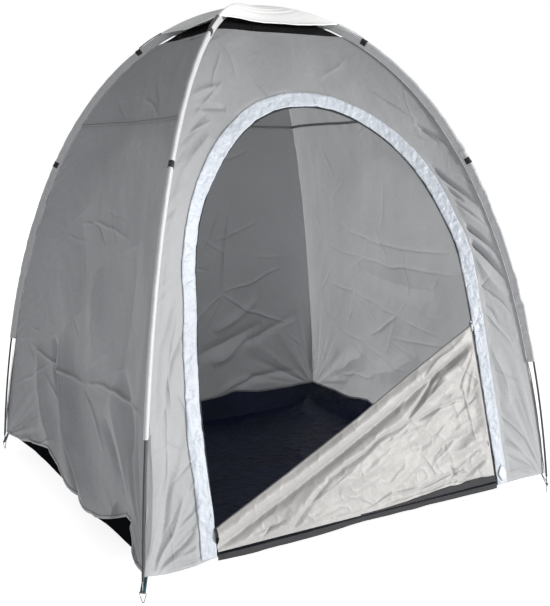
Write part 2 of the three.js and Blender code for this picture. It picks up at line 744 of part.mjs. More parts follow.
// ---- zip slider and its two pull tabs ----
const chainAt = (z, out = 0) => wallPoint(jambX(z, CHAIN_INSET), z, 0, 0, out);
const low = chainAt(FLAP_TOP_Z - 600);
const high = chainAt(FLAP_TOP_Z);
const upAlong = high.clone().sub(low).normalize();
const faceOut = chainAt(FLAP_TOP_Z, 1).sub(high).normalize();
const outward = faceOut.addScaledVector(upAlong, -faceOut.dot(upAlong)).normalize();
const acrossChain = upAlong.clone().cross(outward).normalize();
const PLATE_AT = 3.1;
const PIVOT_AT = 5.9;
const inSlider = (across, up, out) =>
  high.clone().addScaledVector(acrossChain, across).addScaledVector(upAlong, up).addScaledVector(outward, out);
const sliderAxes = [acrossChain, upAlong, outward].map((a) => a.clone());
{
  let slider = solid(block(inSlider(0, 2.5, 0), [1.2, 3, PLATE_AT + 0.4], sliderAxes));
  for (const side of [1, -1]) {
    slider = slider.add(solid(block(inSlider(0, 0, side * PLATE_AT), [3.6, 8, 0.8], sliderAxes)));
    slider = slider.add(solid(block(inSlider(0, 5, side * PLATE_AT), [3.9, 4.6, 0.8], sliderAxes)));
    const hoop = [];
    hoop.push(inSlider(0, 3.2, side * PLATE_AT));
    for (let k = 0; k <= 6; k++) {
      const a = (k / 6) * Math.PI;
      hoop.push(inSlider(0, 3.2 * Math.cos(a), side * (PIVOT_AT + 3.2 * Math.sin(a))));
    }
    hoop.push(inSlider(0, -3.2, side * PLATE_AT));
    slider = slider.add(solid(wire(hoop, side > 0 ? acrossChain : acrossChain.clone().negate(), 0.8, false, 6)));
  }
  add("zip_slider", geometryOf(slider), ZINC);
}
function pull(side, down, face) {
  const across = down.clone().cross(face).normalize();
  const axes = [across, down.clone(), face.clone()];
  const at = (a, d) => inSlider(0, 0, side * PIVOT_AT).addScaledVector(across, a).addScaledVector(down, d);
  let tab = solid(block(at(0, 16), [3.2, 17.1, 0.8], axes));
  tab = tab.subtract(solid(block(at(0, 3.25), [1.6, 2.15, 3], axes)));
  tab = tab.subtract(solid(block(at(0, 28), [1.5, 2, 3], axes)));
  return geometryOf(tab);
}
add("zip_pull_outer", pull(1, upAlong.clone().negate(), outward.clone()), ZINC);
const inward = v3(-outward.x, -outward.y, 0).normalize();
add("zip_pull_inner", pull(-1, v3(0, 0, -1), inward), ZINC);

export default tent;
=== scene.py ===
"""The looks of a square frame tent on two crossed poles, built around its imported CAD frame. Metres, +Z up."""

import math

import bpy
import numpy as np
from mathutils import Matrix, Vector


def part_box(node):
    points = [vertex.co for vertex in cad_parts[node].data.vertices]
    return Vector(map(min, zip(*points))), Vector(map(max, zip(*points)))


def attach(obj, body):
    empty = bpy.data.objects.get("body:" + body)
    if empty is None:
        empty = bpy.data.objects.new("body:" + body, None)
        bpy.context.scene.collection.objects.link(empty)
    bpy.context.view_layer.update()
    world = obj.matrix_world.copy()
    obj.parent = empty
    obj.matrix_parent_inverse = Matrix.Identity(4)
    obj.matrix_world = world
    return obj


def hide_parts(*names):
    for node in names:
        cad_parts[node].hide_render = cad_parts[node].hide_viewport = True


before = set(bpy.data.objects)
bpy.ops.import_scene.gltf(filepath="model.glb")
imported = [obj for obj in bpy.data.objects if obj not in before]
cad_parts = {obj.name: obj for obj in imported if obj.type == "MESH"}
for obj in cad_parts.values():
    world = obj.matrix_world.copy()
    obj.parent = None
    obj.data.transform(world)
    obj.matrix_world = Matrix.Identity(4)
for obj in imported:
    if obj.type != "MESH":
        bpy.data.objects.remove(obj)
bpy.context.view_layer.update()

# ---- places taken from the frame ----
HEM_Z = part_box("wall_left_lower")[0].z
SEAM_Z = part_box("wall_left_upper")[0].z
WALL_TOP_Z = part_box("wall_left_upper")[1].z
SLEEVE_END_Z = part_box("pole_sleeve_front_left")[0].z
SILL_LOW_Z, SILL_HIGH_Z = (corner.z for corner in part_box("sill_strip"))
SILL_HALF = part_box("sill_strip")[1].x
SILL_CLOTH_TOP = SILL_HIGH_Z - 0.005  # leaves room for the flap's hem when the flap lies outward
FLAP_BASE_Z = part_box("door_flap")[0].z - 0.005  # the hem hangs a little over the sill
CAP_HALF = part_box("roof_cap")[1].x
ARCH_TOP_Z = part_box("door_trim")[1].z

# ---- driving dimensions, as in the frame ----
FOOT_HALF = 1.0  # half the side of the square through the four pole ends
FOOT_Z = 0.08
ARC_RADII = (FOOT_HALF * math.sqrt(2), FOOT_HALF * math.sqrt(2) - 0.164, 0.470, 0.0)
ARC_RISES = (0.0, 1.776, 2.161, 2.161)
POLE_R = 0.00475
POLE_SECTIONS = 6
POLE_CROSS_SHIFT = 0.0056
SEAM_OFFSET_FOOT = 0.012  # ridge seam inside the pole at the hem
SEAM_OFFSET = 0.028  # and from the sleeve's end up
SLEEVE_R = 0.0085
SLEEVE_TOP_R = 0.330
WALL_DRAW_IN = 0.55
HEM_BOW = 0.030
TUB_HALF = 0.872
CAP_OVER_POLE = 0.0145
ARCH_HALF = 0.760
ARCH_TAPER = 0.057
ARCH_SPRING_Z = 1.080
ARCH_BASE_Z = 0.112
TRIM_WIDTH = 0.062
CHAIN_INSET = TRIM_WIDTH + 0.0048
FLAP_TAPE_INSETS = (TRIM_WIDTH + 0.0101, TRIM_WIDTH + 0.018)
FLAP_EDGE = TRIM_WIDTH + 0.0102  # the flap's cloth covers its zip tape up to the teeth
FLAP_TOP_Z = 0.814
FLAP_LEFT_Z = 0.205
FLAP_LAYER_GAP = 0.014
TAB_Z = {"lower": 1.533, "upper": 2.068}
TAB_LENGTH = 0.028
PIN_DROP = 0.038  # along the pole from its end down to the ring's bar
RIDGE_GAP = 0.0004  # the walls' cloth stops this far short of the ridge seam
WRAP_ANGLE = math.radians(118)  # how far round the pole a sleeve or a tab reaches, each way

# ---- thicknesses ----
SLEEVE_THICK = 0.0006
BAND_THICK = 0.0008
CAP_THICK = 0.0009
COATED_THICK = 0.0010
STRAP_THICK = 0.0011
WEBBING_THICK = 0.0012

# ---- stitches and zip teeth ----
STITCH_HALF, STITCH_HEIGHT = 0.0004, 0.00055
TOOTH_HALF, TOOTH_DEPTH, TOOTH_REACH = 0.0013, 0.0022, 0.0044
TEETH_PITCH = 0.0027

CORNERS = {"front_left": (-1, -1), "front_right": (1, -1), "back_right": (1, 1), "back_left": (-1, 1)}
POLE_RISE = {"front_left": 1, "back_right": 1, "front_right": -1, "back_left": -1}
POLES = {"a": ("front_left", "back_right"), "b": ("front_right", "back_left")}
TURNS = {"front": 0.0, "right": math.pi / 2, "back": math.pi, "left": -math.pi / 2}


# ---- small mathematics ----
def lerp(a, b, t):
    return a + (b - a) * t


def clamp01(t):
    return np.clip(t, 0.0, 1.0)


def smooth(low, high, x):
    """0 below low, 1 above high, and smooth between."""
    t = clamp01((x - low) / (high - low))
    return t * t * (3 - 2 * t)


def unit(v):
    return v / np.linalg.norm(v, axis=-1, keepdims=True)


def lengths(path):
    """The length along a path up to each of its points."""
    return np.concatenate([[0], np.cumsum(np.linalg.norm(np.diff(path, axis=0), axis=-1))])


def noise(x, y, seed):
    """Smooth noise in -1..1 with one cell for each unit of x and y."""
    x, y = np.broadcast_arrays(np.asarray(x, float), np.asarray(y, float))
    xi, yi = np.floor(x).astype(np.int64), np.floor(y).astype(np.int64)
    fx, fy = x - xi, y - yi

    def corner(i, j):
        n = ((xi + i) * 73856093 ^ (yi + j) * 19349663 ^ seed * 83492791) & 0xFFFFFFFF
        n = ((n ^ (n >> 15)) * 2246822519) & 0xFFFFFFFF
        n = ((n ^ (n >> 13)) * 3266489917) & 0xFFFFFFFF
        return ((n ^ (n >> 16)) & 0xFFFF) / 32767.5 - 1

    wx = fx * fx * fx * (fx * (fx * 6 - 15) + 10)
    wy = fy * fy * fy * (fy * (fy * 6 - 15) + 10)
    low = lerp(corner(0, 0), corner(1, 0), wx)
    high = lerp(corner(0, 1), corner(1, 1), wx)
    return lerp(low, high, wy)


def layered(x, y, seed, octaves=3):
    """Several octaves of noise, each half as strong as the one before."""
    return sum(noise(x * 2**k + 17 * k, y * 2**k - 31 * k, seed + k) / 2**k for k in range(octaves))


def creased(x, y, seed):
    """Noise whose tops are sharp lines, 0..1, like cloth that was packed tight."""
    return 1 - np.abs(layered(x, y, seed, 2))


# ---- the poles' arc and the ridges of the tent ----
T = np.linspace(0, 1, 1201)
WEIGHTS = ((1 - T) ** 3, 3 * (1 - T) ** 2 * T, 3 * (1 - T) * T**2, T**3)
SLOPES = (3 * (1 - T) ** 2, 6 * (1 - T) * T, 3 * T**2)
ARC_R = sum(w * r for w, r in zip(WEIGHTS, ARC_RADII))
ARC_Z = FOOT_Z + sum(w * z for w, z in zip(WEIGHTS, ARC_RISES))
ARC_TANGENT = unit(np.stack([
    sum(w * (ARC_RADII[k + 1] - ARC_RADII[k]) for k, w in enumerate(SLOPES)),
    sum(w * (ARC_RISES[k + 1] - ARC_RISES[k]) for k, w in enumerate(SLOPES)),
], -1))
ARC_LEN = lengths(np.stack([ARC_R, ARC_Z], -1))
ARC_LENGTH = ARC_LEN[-1]
OFFSETS = lerp(SEAM_OFFSET_FOOT, SEAM_OFFSET, clamp01((ARC_Z - HEM_Z) / (SLEEVE_END_Z - HEM_Z)))
RIDGE_R = ARC_R - OFFSETS * ARC_TANGENT[:, 1]
RIDGE_Z = ARC_Z + OFFSETS * ARC_TANGENT[:, 0]


def corner_frame(corner):
    """The level directions out over a corner's pole and across it."""
    sx, sy = CORNERS[corner]
    out = np.array([sx, sy, 0]) / math.sqrt(2)
    level = np.array([-sy, sx, 0]) / math.sqrt(2)
    return out, level


def length_at_height(z):
    return np.interp(z, ARC_Z, ARC_LEN)


def length_at_radius(r):
    return np.interp(-r, -ARC_R, ARC_LEN)


def seam_offset(s):
    """How far the ridge seam lies inside the pole, at a length along the pole from its foot."""
    return np.interp(s, ARC_LEN, OFFSETS)


def ridge_point(corner, s, n, b, rise=True):
    """A point beside the pole at length s from its foot: n outward from its centre, b level across it."""
    out, level = corner_frame(corner)
    s, n, b = np.broadcast_arrays(s, n, b)
    r = np.interp(s, ARC_LEN, ARC_R)
    z = np.interp(s, ARC_LEN, ARC_Z)
    tr = np.interp(s, ARC_LEN, ARC_TANGENT[:, 0])
    tz = np.interp(s, ARC_LEN, ARC_TANGENT[:, 1])
    if rise:
        z = z + POLE_RISE[corner] * POLE_CROSS_SHIFT * clamp01(1 - r / 0.3)
    point = out * (r + n * tz)[..., None] + level * b[..., None]
    point[..., 2] += z - n * tr
    return point


# ---- walls ----
def wall_half(z):
    """Half the width of a wall, from ridge to ridge, at a height."""
    return np.interp(z, RIDGE_Z, RIDGE_R) / math.sqrt(2)


HEM_HALF = wall_half(HEM_Z)
TOP_HALF = wall_half(WALL_TOP_Z)
CLOTH_TOP_Z = WALL_TOP_Z + 0.015  # the walls' cloth is turned in over the netting's edge


def wall_depth(a, z, bow):
    """Distance from the tent's axis to a wall, at a across it and height z."""
    half = wall_half(z)
    u = np.clip(np.abs(a) / half, 0, 1)
    f = clamp01((z - HEM_Z) / (WALL_TOP_Z - HEM_Z))
    middle = WALL_DRAW_IN * (half - lerp(HEM_HALF, TOP_HALF, f))
    edge = bow * (1 - f) ** 6 + 0.012 * f**6
    return half - middle * (1 - u**3.5) - edge * (1 - u * u)


def arch_half(z, inset=0.0):
    """Half the width of the door's arch at the height of a jamb, inset from the trim's outer edge."""
    return ARCH_HALF - ARCH_TAPER * (z - ARCH_BASE_Z) - inset


def arch_inset(a, z):
    """Rough distance inside the outer edge of the door's trim, negative outside it."""
    half = arch_half(z)
    rise = ARCH_TOP_Z - ARCH_SPRING_Z
    round_part = (1 - np.hypot(a / half, np.maximum(z - ARCH_SPRING_Z, 0) / rise)) * 0.72
    return np.where(z < ARCH_SPRING_Z, half - np.abs(a), round_part)


# Folds are soft and broad, creases sharp and narrow. Each is a start and an end on the wall (across,
# height), a half width and a height, which is negative for a valley. They were placed one by one.
FRONT_FOLDS = [
    ((0.54, 1.52), (0.76, 1.33), 0.010, -0.014),
    ((0.58, 1.45), (0.70, 1.35), 0.008, -0.009),
    ((0.61, 1.32), (0.84, 1.09), 0.010, -0.018),
    ((0.62, 1.26), (0.89, 0.94), 0.011, -0.022),
    ((0.62, 1.38), (0.78, 1.24), 0.007, -0.007),
    ((0.66, 1.36), (0.80, 1.22), 0.030, 0.008),
    ((0.55, 1.68), (0.70, 1.55), 0.010, -0.009),
    ((0.53, 1.70), (0.62, 1.60), 0.009, -0.007),
    ((0.69, 1.12), (0.84, 0.91), 0.022, 0.007),
    ((0.74, 0.71), (0.83, 0.44), 0.030, 0.006),
    ((0.69, 0.33), (0.97, 0.09), 0.014, -0.008),
    ((0.76, 0.27), (0.98, 0.09), 0.010, 0.007),
    ((0.76, 0.21), (0.95, 0.09), 0.010, -0.007),
    ((0.77, 0.14), (0.97, 0.09), 0.009, 0.005),
    ((-0.78, 1.05), (-0.92, 0.59), 0.013, -0.010),
    ((-0.75, 0.93), (-0.88, 0.62), 0.011, -0.007),
    ((-0.70, 1.56), (-0.50, 1.73), 0.014, -0.008),
    ((-0.67, 1.49), (-0.50, 1.65), 0.018, 0.007),
    ((-0.60, 1.78), (-0.41, 1.84), 0.012, 0.008),
    ((-0.56, 1.75), (-0.40, 1.75), 0.010, -0.006),
    ((-0.80, 1.30), (-0.66, 1.53), 0.012, -0.009),
    ((-0.82, 1.22), (-0.70, 1.40), 0.020, 0.007),
    ((-0.96, 0.09), (-0.86, 0.45), 0.012, -0.008),
    ((-0.96, 0.09), (-0.81, 0.35), 0.012, 0.009),
    ((-0.95, 0.09), (-0.78, 0.21), 0.009, -0.008),
    ((-0.95, 0.09), (-0.77, 0.16), 0.008, 0.006),
    ((-0.93, 0.09), (-0.76, 0.12), 0.007, -0.005),
]
FRONT_CREASES = [
    ((-0.93, 0.62), (-0.88, 1.18), 0.007, 0.004),
    ((-0.90, 0.30), (-0.86, 0.72), 0.007, 0.004),
    ((-0.86, 0.95), (-0.77, 1.22), 0.007, -0.005),
    ((-0.84, 0.66), (-0.77, 0.98), 0.007, 0.004),
    ((-0.88, 0.56), (-0.76, 0.50), 0.006, 0.003),
    ((-0.86, 0.40), (-0.75, 0.46), 0.006, -0.003),
    ((-0.90, 0.20), (-0.74, 0.30), 0.006, 0.004),
    ((-0.82, 1.36), (-0.70, 1.50), 0.007, 0.004),
    ((-0.76, 1.44), (-0.62, 1.60), 0.007, -0.005),
    ((-0.66, 1.62), (-0.48, 1.70), 0.007, 0.004),
    ((-0.58, 1.70), (-0.38, 1.86), 0.008, 0.004),
    ((0.36, 1.84), (0.54, 1.72), 0.008, 0.004),
    ((0.48, 1.66), (0.66, 1.58), 0.007, 0.003),
    ((0.70, 1.02), (0.86, 0.82), 0.007, -0.005),
    ((0.72, 0.86), (0.86, 0.70), 0.007, 0.004),
    ((0.74, 0.60), (0.88, 0.52), 0.007, -0.003),
    ((0.74, 0.42), (0.90, 0.26), 0.006, 0.004),
    ((-0.74, 0.55), (-0.80, 0.70), 0.008, 0.004),
    ((-0.73, 0.38), (-0.76, 0.30), 0.010, -0.007),
    ((-0.72, 0.43), (-0.78, 0.36), 0.008, 0.005),
    ((0.72, 0.90), (0.80, 0.80), 0.008, -0.003),
    ((0.28, 2.00), (0.10, 1.88), 0.016, 0.0012),
    ((-0.35, 2.05), (-0.30, 1.86), 0.014, 0.0015),
]
LEFT_FOLDS = [
    ((-0.50, 0.70), (0.16, 0.08), 0.024, -0.026),
    ((-0.38, 0.72), (0.36, 0.10), 0.075, 0.032),
    ((-0.66, 0.62), (-0.20, 0.12), 0.070, 0.016),
    ((0.30, 0.50), (0.74, 0.24), 0.030, -0.012),
    ((0.34, 0.60), (0.86, 0.26), 0.070, 0.014),
    ((0.45, 0.72), (0.74, 0.45), 0.040, -0.010),
    ((-0.10, 1.05), (0.10, 0.66), 0.110, 0.012),
    ((0.30, 1.20), (0.45, 0.72), 0.100, -0.010),
    ((-0.45, 1.30), (-0.20, 0.86), 0.120, -0.010),
    ((0.80, 0.28), (0.74, 0.12), 0.016, -0.012),
    ((0.60, 0.22), (0.72, 0.10), 0.020, 0.014),
]
LEFT_CREASES = [
    ((-0.75, 0.62), (0.05, 0.58), 0.010, 0.006),
    ((0.05, 0.58), (0.80, 0.61), 0.010, 0.006),
    ((-0.89, 0.39), (-0.48, 0.56), 0.009, 0.004),
    ((-0.49, 0.51), (-0.18, 0.40), 0.009, 0.003),
    ((-0.46, 1.26), (0.23, 1.22), 0.008, 0.003),
    ((-0.35, 1.28), (-0.05, 1.18), 0.008, -0.003),
    ((0.03, 0.86), (-0.03, 0.69), 0.009, 0.003),
    ((-0.14, 1.83), (0.13, 1.74), 0.009, 0.003),
    ((-0.05, 1.90), (0.10, 1.76), 0.009, -0.003),
    ((-0.81, 0.12), (-0.24, 0.24), 0.010, 0.005),
    ((0.08, 0.52), (0.39, 0.37), 0.010, 0.004),
]
BACK_FOLDS = [
    ((-0.22, 0.33), (-0.45, 0.47), 0.030, -0.012),
    ((-0.12, 0.38), (-0.55, 0.56), 0.034, 0.012),
    ((-0.22, 0.53), (-0.50, 0.72), 0.030, -0.010),
    ((-0.34, 0.40), (-0.80, 0.60), 0.028, 0.010),
    ((-0.27, 0.14), (-0.50, 0.22), 0.020, -0.010),
    ((-0.34, 0.17), (-0.87, 0.20), 0.024, 0.010),
    ((0.40, 0.20), (0.80, 0.50), 0.040, 0.010),
    ((0.20, 0.60), (0.66, 0.90), 0.060, -0.010),
]
BACK_CREASES = [
    ((-0.25, 1.32), (-0.25, 0.78), 0.008, -0.005),
    ((-0.10, 1.03), (-0.18, 1.31), 0.008, -0.004),
    ((-0.25, 0.78), (-0.66, 0.91), 0.008, -0.005),
    ((-0.25, 0.76), (-0.10, 0.62), 0.008, -0.005),
    ((-0.25, 0.76), (-0.74, 0.54), 0.008, -0.005),
    ((-0.15, 0.53), (-0.25, 0.74), 0.008, -0.004),
    ((-0.66, 0.50), (-0.84, 0.55), 0.008, -0.004),
    ((-0.77, 0.44), (-0.89, 0.37), 0.008, -0.004),
    ((-0.67, 0.27), (-0.71, 0.46), 0.008, -0.004),
    ((-0.16, 1.09), (-0.46, 1.22), 0.008, -0.003),
    ((-0.16, 1.55), (-0.31, 1.60), 0.009, -0.004),
]
RIGHT_FOLDS = [
    ((0.70, 0.24), (0.30, 0.44), 0.050, -0.010),
    ((0.30, 0.30), (-0.20, 0.50), 0.060, -0.009),
    ((0.85, 0.15), (0.55, 0.22), 0.020, -0.010),
    ((-0.40, 0.30), (-0.70, 0.60), 0.060, 0.010),
    ((0.20, 0.95), (-0.40, 0.88), 0.060, 0.007),
]
RIGHT_CREASES = [
    ((0.24, 1.16), (-0.57, 1.09), 0.008, -0.005),
    ((0.16, 1.02), (-0.58, 1.00), 0.008, -0.005),
    ((0.47, 1.06), (0.20, 1.01), 0.008, -0.004),
    ((0.57, 0.84), (0.30, 0.81), 0.008, -0.005),
    ((0.30, 0.81), (0.14, 0.66), 0.008, -0.004),
    ((0.30, 0.81), (-0.08, 0.72), 0.008, -0.005),
    ((-0.08, 0.72), (-0.36, 0.65), 0.008, -0.004),
    ((0.70, 0.67), (0.64, 0.57), 0.008, -0.004),
    ((0.64, 0.57), (0.29, 0.50), 0.008, -0.005),
    ((0.29, 0.50), (-0.10, 0.41), 0.008, -0.005),
    ((0.51, 0.53), (0.19, 0.36), 0.008, -0.005),
    ((0.22, 0.56), (-0.08, 0.72), 0.008, -0.005),
    ((0.05, 0.59), (-0.20, 0.49), 0.008, -0.004),
    ((0.86, 0.40), (0.79, 0.30), 0.008, -0.004),
    ((0.79, 0.30), (0.59, 0.21), 0.008, -0.004),
    ((0.74, 0.26), (0.20, 0.31), 0.008, -0.004),
    ((0.02, 0.59), (-0.46, 0.61), 0.008, -0.004),
    ((-0.18, 0.83), (-0.35, 0.73), 0.008, -0.004),
    ((0.70, 0.68), (0.51, 0.53), 0.008, -0.004),
]
FOLDS = {"front": FRONT_FOLDS, "left": LEFT_FOLDS, "back": BACK_FOLDS, "right": RIGHT_FOLDS}
CREASES = {"front": FRONT_CREASES, "left": LEFT_CREASES, "back": BACK_CREASES, "right": RIGHT_CREASES}


def stroke(a, z, start, end, width, height, sharp):
    """The height that one fold or crease adds at (a, z)."""
    start, end = np.array(start), np.array(end)
    along = end - start
    length = np.hypot(*along)
    da, dz = a - start[0], z - start[1]
    t = (da * along[0] + dz * along[1]) / length**2
    d = (da * along[1] - dz * along[0]) / length
    d = d + 0.03 * length * np.sin(math.pi * clamp01(t)) * math.copysign(1, start[0] + end[1])
    taper = np.sin(math.pi * clamp01(t)) ** 0.6
    crisp = np.exp(-np.abs(d) / (0.20 * width))
    profile = np.exp(-np.abs(d) / width) if sharp else 0.80 * np.exp(-((d / width) ** 2)) + 0.24 * crisp
    return height * taper * profile


def strokes(a, z, folds, creases, strength=1.0):
    wander_a = a + 0.010 * noise(a / 0.11, z / 0.11, 5)
    wander_z = z + 0.010 * noise(a / 0.11 + 40, z / 0.11, 6)
    total = np.zeros_like(a)
    for fold in folds:
        total += strength * stroke(wander_a, wander_z, *fold, sharp=False)
    for start, end, width, height in creases:
        total += strength * stroke(wander_a, wander_z, start, end, width * 0.62, height * 1.1, sharp=True)
    return total


def scattered(seed, count, longest):
    """Faint creases at random over a wall, as rows like those above."""
    random = np.random.RandomState(seed)
    found = []
    for _ in range(count):
        a, z = random.uniform(-0.8, 0.8), random.uniform(0.15, 1.9)
        angle, length = random.uniform(0, math.pi), random.uniform(0.3, 1.0) * longest
        end = (a + length * math.cos(angle), z + length * math.sin(angle))
        width, sign = random.uniform(0.006, 0.010), random.choice([-1, 1])
        found.append(((a, z), end, width, sign * random.uniform(0.001, 0.0025)))
    return found


def fan(a, z, side_sign, seed, reach, height):
    """Folds that spread from a wall's lower corner, where the cloth hangs from the pole's foot."""
    da, dz = HEM_HALF - side_sign * a, z - HEM_Z + 0.02
    r, angle = np.hypot(da, dz), np.arctan2(dz, da)
    waves = noise(angle / 0.16, 0 * r, seed) + 0.6 * noise(angle / 0.07, r / 0.5, seed + 1)
    return height * waves * smooth(0.02, 0.16, r) * (1 - smooth(reach * 0.4, reach, r))


def gathers(a, z, seed, height):
    """Short slanted puckers along the ridge seams."""
    from_edge = wall_half(z) - np.abs(a)
    slant = z - 0.8 * from_edge
    bunch = clamp01(0.45 + noise(z / 0.3, np.sign(a) * 5, seed + 3))
    wave = noise(slant / 0.024, np.sign(a) * 3 + from_edge / 0.2, seed)
    return height * bunch * wave * np.exp(-from_edge / 0.045) * smooth(0, 0.006, from_edge)


SEEDS = {"front": 11, "left": 23, "back": 37, "right": 53}
FOLD_STRENGTH = {"front": 2.8, "left": 1.9, "back": 2.4, "right": 2.4}


def relief(side, a, z):
    """How far a wall's cloth stands out of its mean surface, with every fold in it."""
    seed = SEEDS[side]
    half = wall_half(z)
    u = np.clip(np.abs(a) / half, 0, 1)
    edge = (1 - u**6) * smooth(0, 0.08, WALL_TOP_Z - z)
    # broad slack, soft dents, and the fine crumple of cloth that was packed
    out = 0.010 * layered(a / 0.50, z / 0.70, seed) * (1 - u**3)
    out += 0.0035 * layered(a / 0.17 + z / 0.4, z / 0.26, seed + 5) * edge
    crumple = clamp01(0.35 + noise(a / 0.33, z / 0.41, seed + 9))
    out += 0.0020 * crumple * (creased(a / 0.13 + 0.3 * z, z / 0.10, seed + 7) - 0.6)
    out += strokes(a, z, FOLDS[side], CREASES[side] + scattered(seed, 26, 0.30), FOLD_STRENGTH[side]) * edge
    strength = 0.006 if side == "front" else 0.007
    for sign in (-1, 1):
        out += fan(a, z, sign, seed + 13 + sign, 0.75, strength)
    out += gathers(a, z, seed + 21, 0.0045 if side == "front" else 0.0035)
    if side == "front":
        # the trim holds the cloth flat under it and close beside it
        out *= smooth(0.034, 0.062, np.abs(arch_inset(a, z) - TRIM_WIDTH / 2))
    return out


def wall_point(side, a, z, out=0.0):
    """A point on a wall's cloth: a across it, z up, out away from the tent."""
    a, z, out = np.broadcast_arrays(np.asarray(a, float), np.asarray(z, float), np.asarray(out, float))
    bow = 0.0 if side == "front" else HEM_BOW
    step = 0.002
    slope_a = -(wall_depth(a + step, z, bow) - wall_depth(a - step, z, bow)) / (2 * step)
    slope_z = -(wall_depth(a, z + step, bow) - wall_depth(a, z - step, bow)) / (2 * step)
    normal = unit(np.stack([slope_a, -np.ones_like(a), slope_z], -1))
    flat = np.stack([a, -wall_depth(a, z, bow), z], -1) + normal * (relief(side, a, z) + out)[..., None]
    c, s = math.cos(TURNS[side]), math.sin(TURNS[side])
    x, y, z = np.moveaxis(flat, -1, 0)
    return np.stack([c * x - s * y, s * x + c * y, z], -1)


# Where a hem is caught up off the ground: the place across it, the reach before and after, and the height.
HEM_LIFTS = {
    "left": [(-0.30, 0.62, 0.30, 0.095), (0.755, 0.36, 0.13, 0.130), (-0.76, 0.14, 0.14, -0.010)],
    "right": [(0.35, 0.24, 0.20, 0.034), (-0.50, 0.26, 0.22, 0.026)],
    "back": [(-0.40, 0.22, 0.24, 0.030), (0.30, 0.16, 0.20, 0.038)],
    "front": [],
}


def hem_height(side, a):
    """The height of a wall's hem over the ground, with its lifts and a small wave."""
    lift = 0.0 * a
    for at, before, after, height in HEM_LIFTS[side]:
        share = clamp01(1 - np.abs(a - at) / np.where(a < at, before, after))
        lift = lift + height * share**1.2
    wave = 0.004 * noise(a / 0.09, 0.5, SEEDS[side] + 40) * (1 - (np.abs(a) / HEM_HALF) ** 4)
    return HEM_Z + lift + (wave if side != "front" else 0.0)


# ---- meshes ----
def object_of(name, points, faces, material, uv=None):
    mesh = bpy.data.meshes.new(name)
    listed = faces.tolist() if hasattr(faces, "tolist") else faces
    mesh.from_pydata(points.reshape(-1, 3).tolist(), [], listed)
    if uv is not None:
        corners = np.concatenate([np.asarray(f) for f in faces]) if isinstance(faces, list) else faces.ravel()
        layer = mesh.uv_layers.new(name="UVMap")
        layer.data.foreach_set("uv", uv.reshape(-1, 2)[corners].astype(np.float32).ravel())
    mesh.shade_smooth()
    mesh.validate()
    mesh.materials.append(material)
    made = bpy.data.objects.new(name, mesh)
    bpy.context.scene.collection.objects.link(made)
    return made


def grid_faces(n, m, wrap=False):
    """Quads over an n by m grid of points; with wrap, the last column joins the first."""
    i = np.arange(n - 1)[:, None]
    j = np.arange(m if wrap else m - 1)[None, :]
    k = (j + 1) % m
    return np.stack([i * m + j, (i + 1) * m + j, (i + 1) * m + k, i * m + k], -1).reshape(-1, 4)


def grid_object(name, points, material, uv=None, wrap=False):
    """A sheet from a grid of points. Without uv, the map is the lengths along its first row and column."""
    n, m = points.shape[:2]
    if uv is None:
        uv = np.stack(np.broadcast_arrays(lengths(points[0])[None, :], lengths(points[:, 0])[:, None]), -1)
    return object_of(name, points, grid_faces(n, m, wrap), material, uv)


def thicken(piece, thickness, offset=0.0, inside=None):
    """Gives a sheet its thickness. With inside, its second side takes that material."""
    solidify = piece.modifiers.new("thickness", "SOLIDIFY")
    solidify.thickness = thickness
    solidify.offset = offset
    solidify.use_even_offset = False
    if inside is not None:
        piece.data.materials.append(inside)
        solidify.material_offset = 1
        solidify.material_offset_rim = 1
    return piece


def place(piece, body, slot, *nodes):
    """Says which body a piece rides with and which CAD nodes it stands for. slot, what it is made of, is not
    used.
    """
    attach(piece, body)
    if nodes:
        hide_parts(*nodes)
    return piece


def tube(name, path, side, radius, material, sides=16, closed=False):
    """A round rod along a path. side is a unit vector, or one for each point, square to the path."""
    path = np.asarray(path, float)
    if closed:
        tangent = unit(np.roll(path, -1, 0) - np.roll(path, 1, 0))
    else:
        tangent = unit(np.gradient(path, axis=0))
    side = np.broadcast_to(side, path.shape)
    other = np.cross(tangent, side)
    angle = np.arange(sides) / sides * 2 * math.pi
    radius = np.broadcast_to(radius, len(path))[:, None, None]
    ring = side[:, None] * np.cos(angle)[None, :, None] + other[:, None] * np.sin(angle)[None, :, None]
    points = path[:, None] + radius * ring
    n = len(path)
    if closed:
        points = np.concatenate([points, points[:1]])
        n += 1
    faces = grid_faces(n, sides, wrap=True).tolist()
    if not closed:
        faces += [list(range(sides))[::-1], list(range((n - 1) * sides, n * sides))]
    around = angle / (2 * math.pi) * 0.03
    uv = np.stack(np.broadcast_arrays(around[None, :], lengths(points[:, 0])[:, None]), -1)
    return object_of(name, points, [np.array(f) for f in faces], material, uv)


def along(run, rows, at):
    """The rows of numbers, kept at the lengths run, read at other lengths."""
    return np.stack([np.interp(at, run, rows[:, k]) for k in range(3)], -1)


def stitches(name, lines, body, material, pitch=0.0036, length=0.0026):
    """Rows of short raised stitches. Each line is its points and the cloth's normals there."""
    points, faces = [], []
    count = 0
    for path, normal in lines:
        run = lengths(path)
        starts = np.arange(pitch, run[-1] - length, pitch)
        if not len(starts):
            continue
        ends = [along(run, path, at) for at in (starts, starts + length)]
        up = unit(along(run, normal, starts))
        run_way = unit(ends[1] - ends[0])
        side = np.cross(up, run_way)
        middle = (ends[0] + ends[1]) / 2
        block = np.stack([
            ends[0], middle + side * STITCH_HALF, ends[1], middle - side * STITCH_HALF,
            middle + up * STITCH_HEIGHT,
        ], 1)
        points.append(block.reshape(-1, 3))
        at = count + 5 * np.arange(len(starts))[:, None]
        for triangle in ((0, 4, 1), (1, 4, 2), (2, 4, 3), (3, 4, 0)):
            faces.append(at + np.array(triangle))
        count += 5 * len(starts)
    piece = object_of(name, np.concatenate(points), np.concatenate(faces), material)
    return place(piece, body, "shell_cloth")


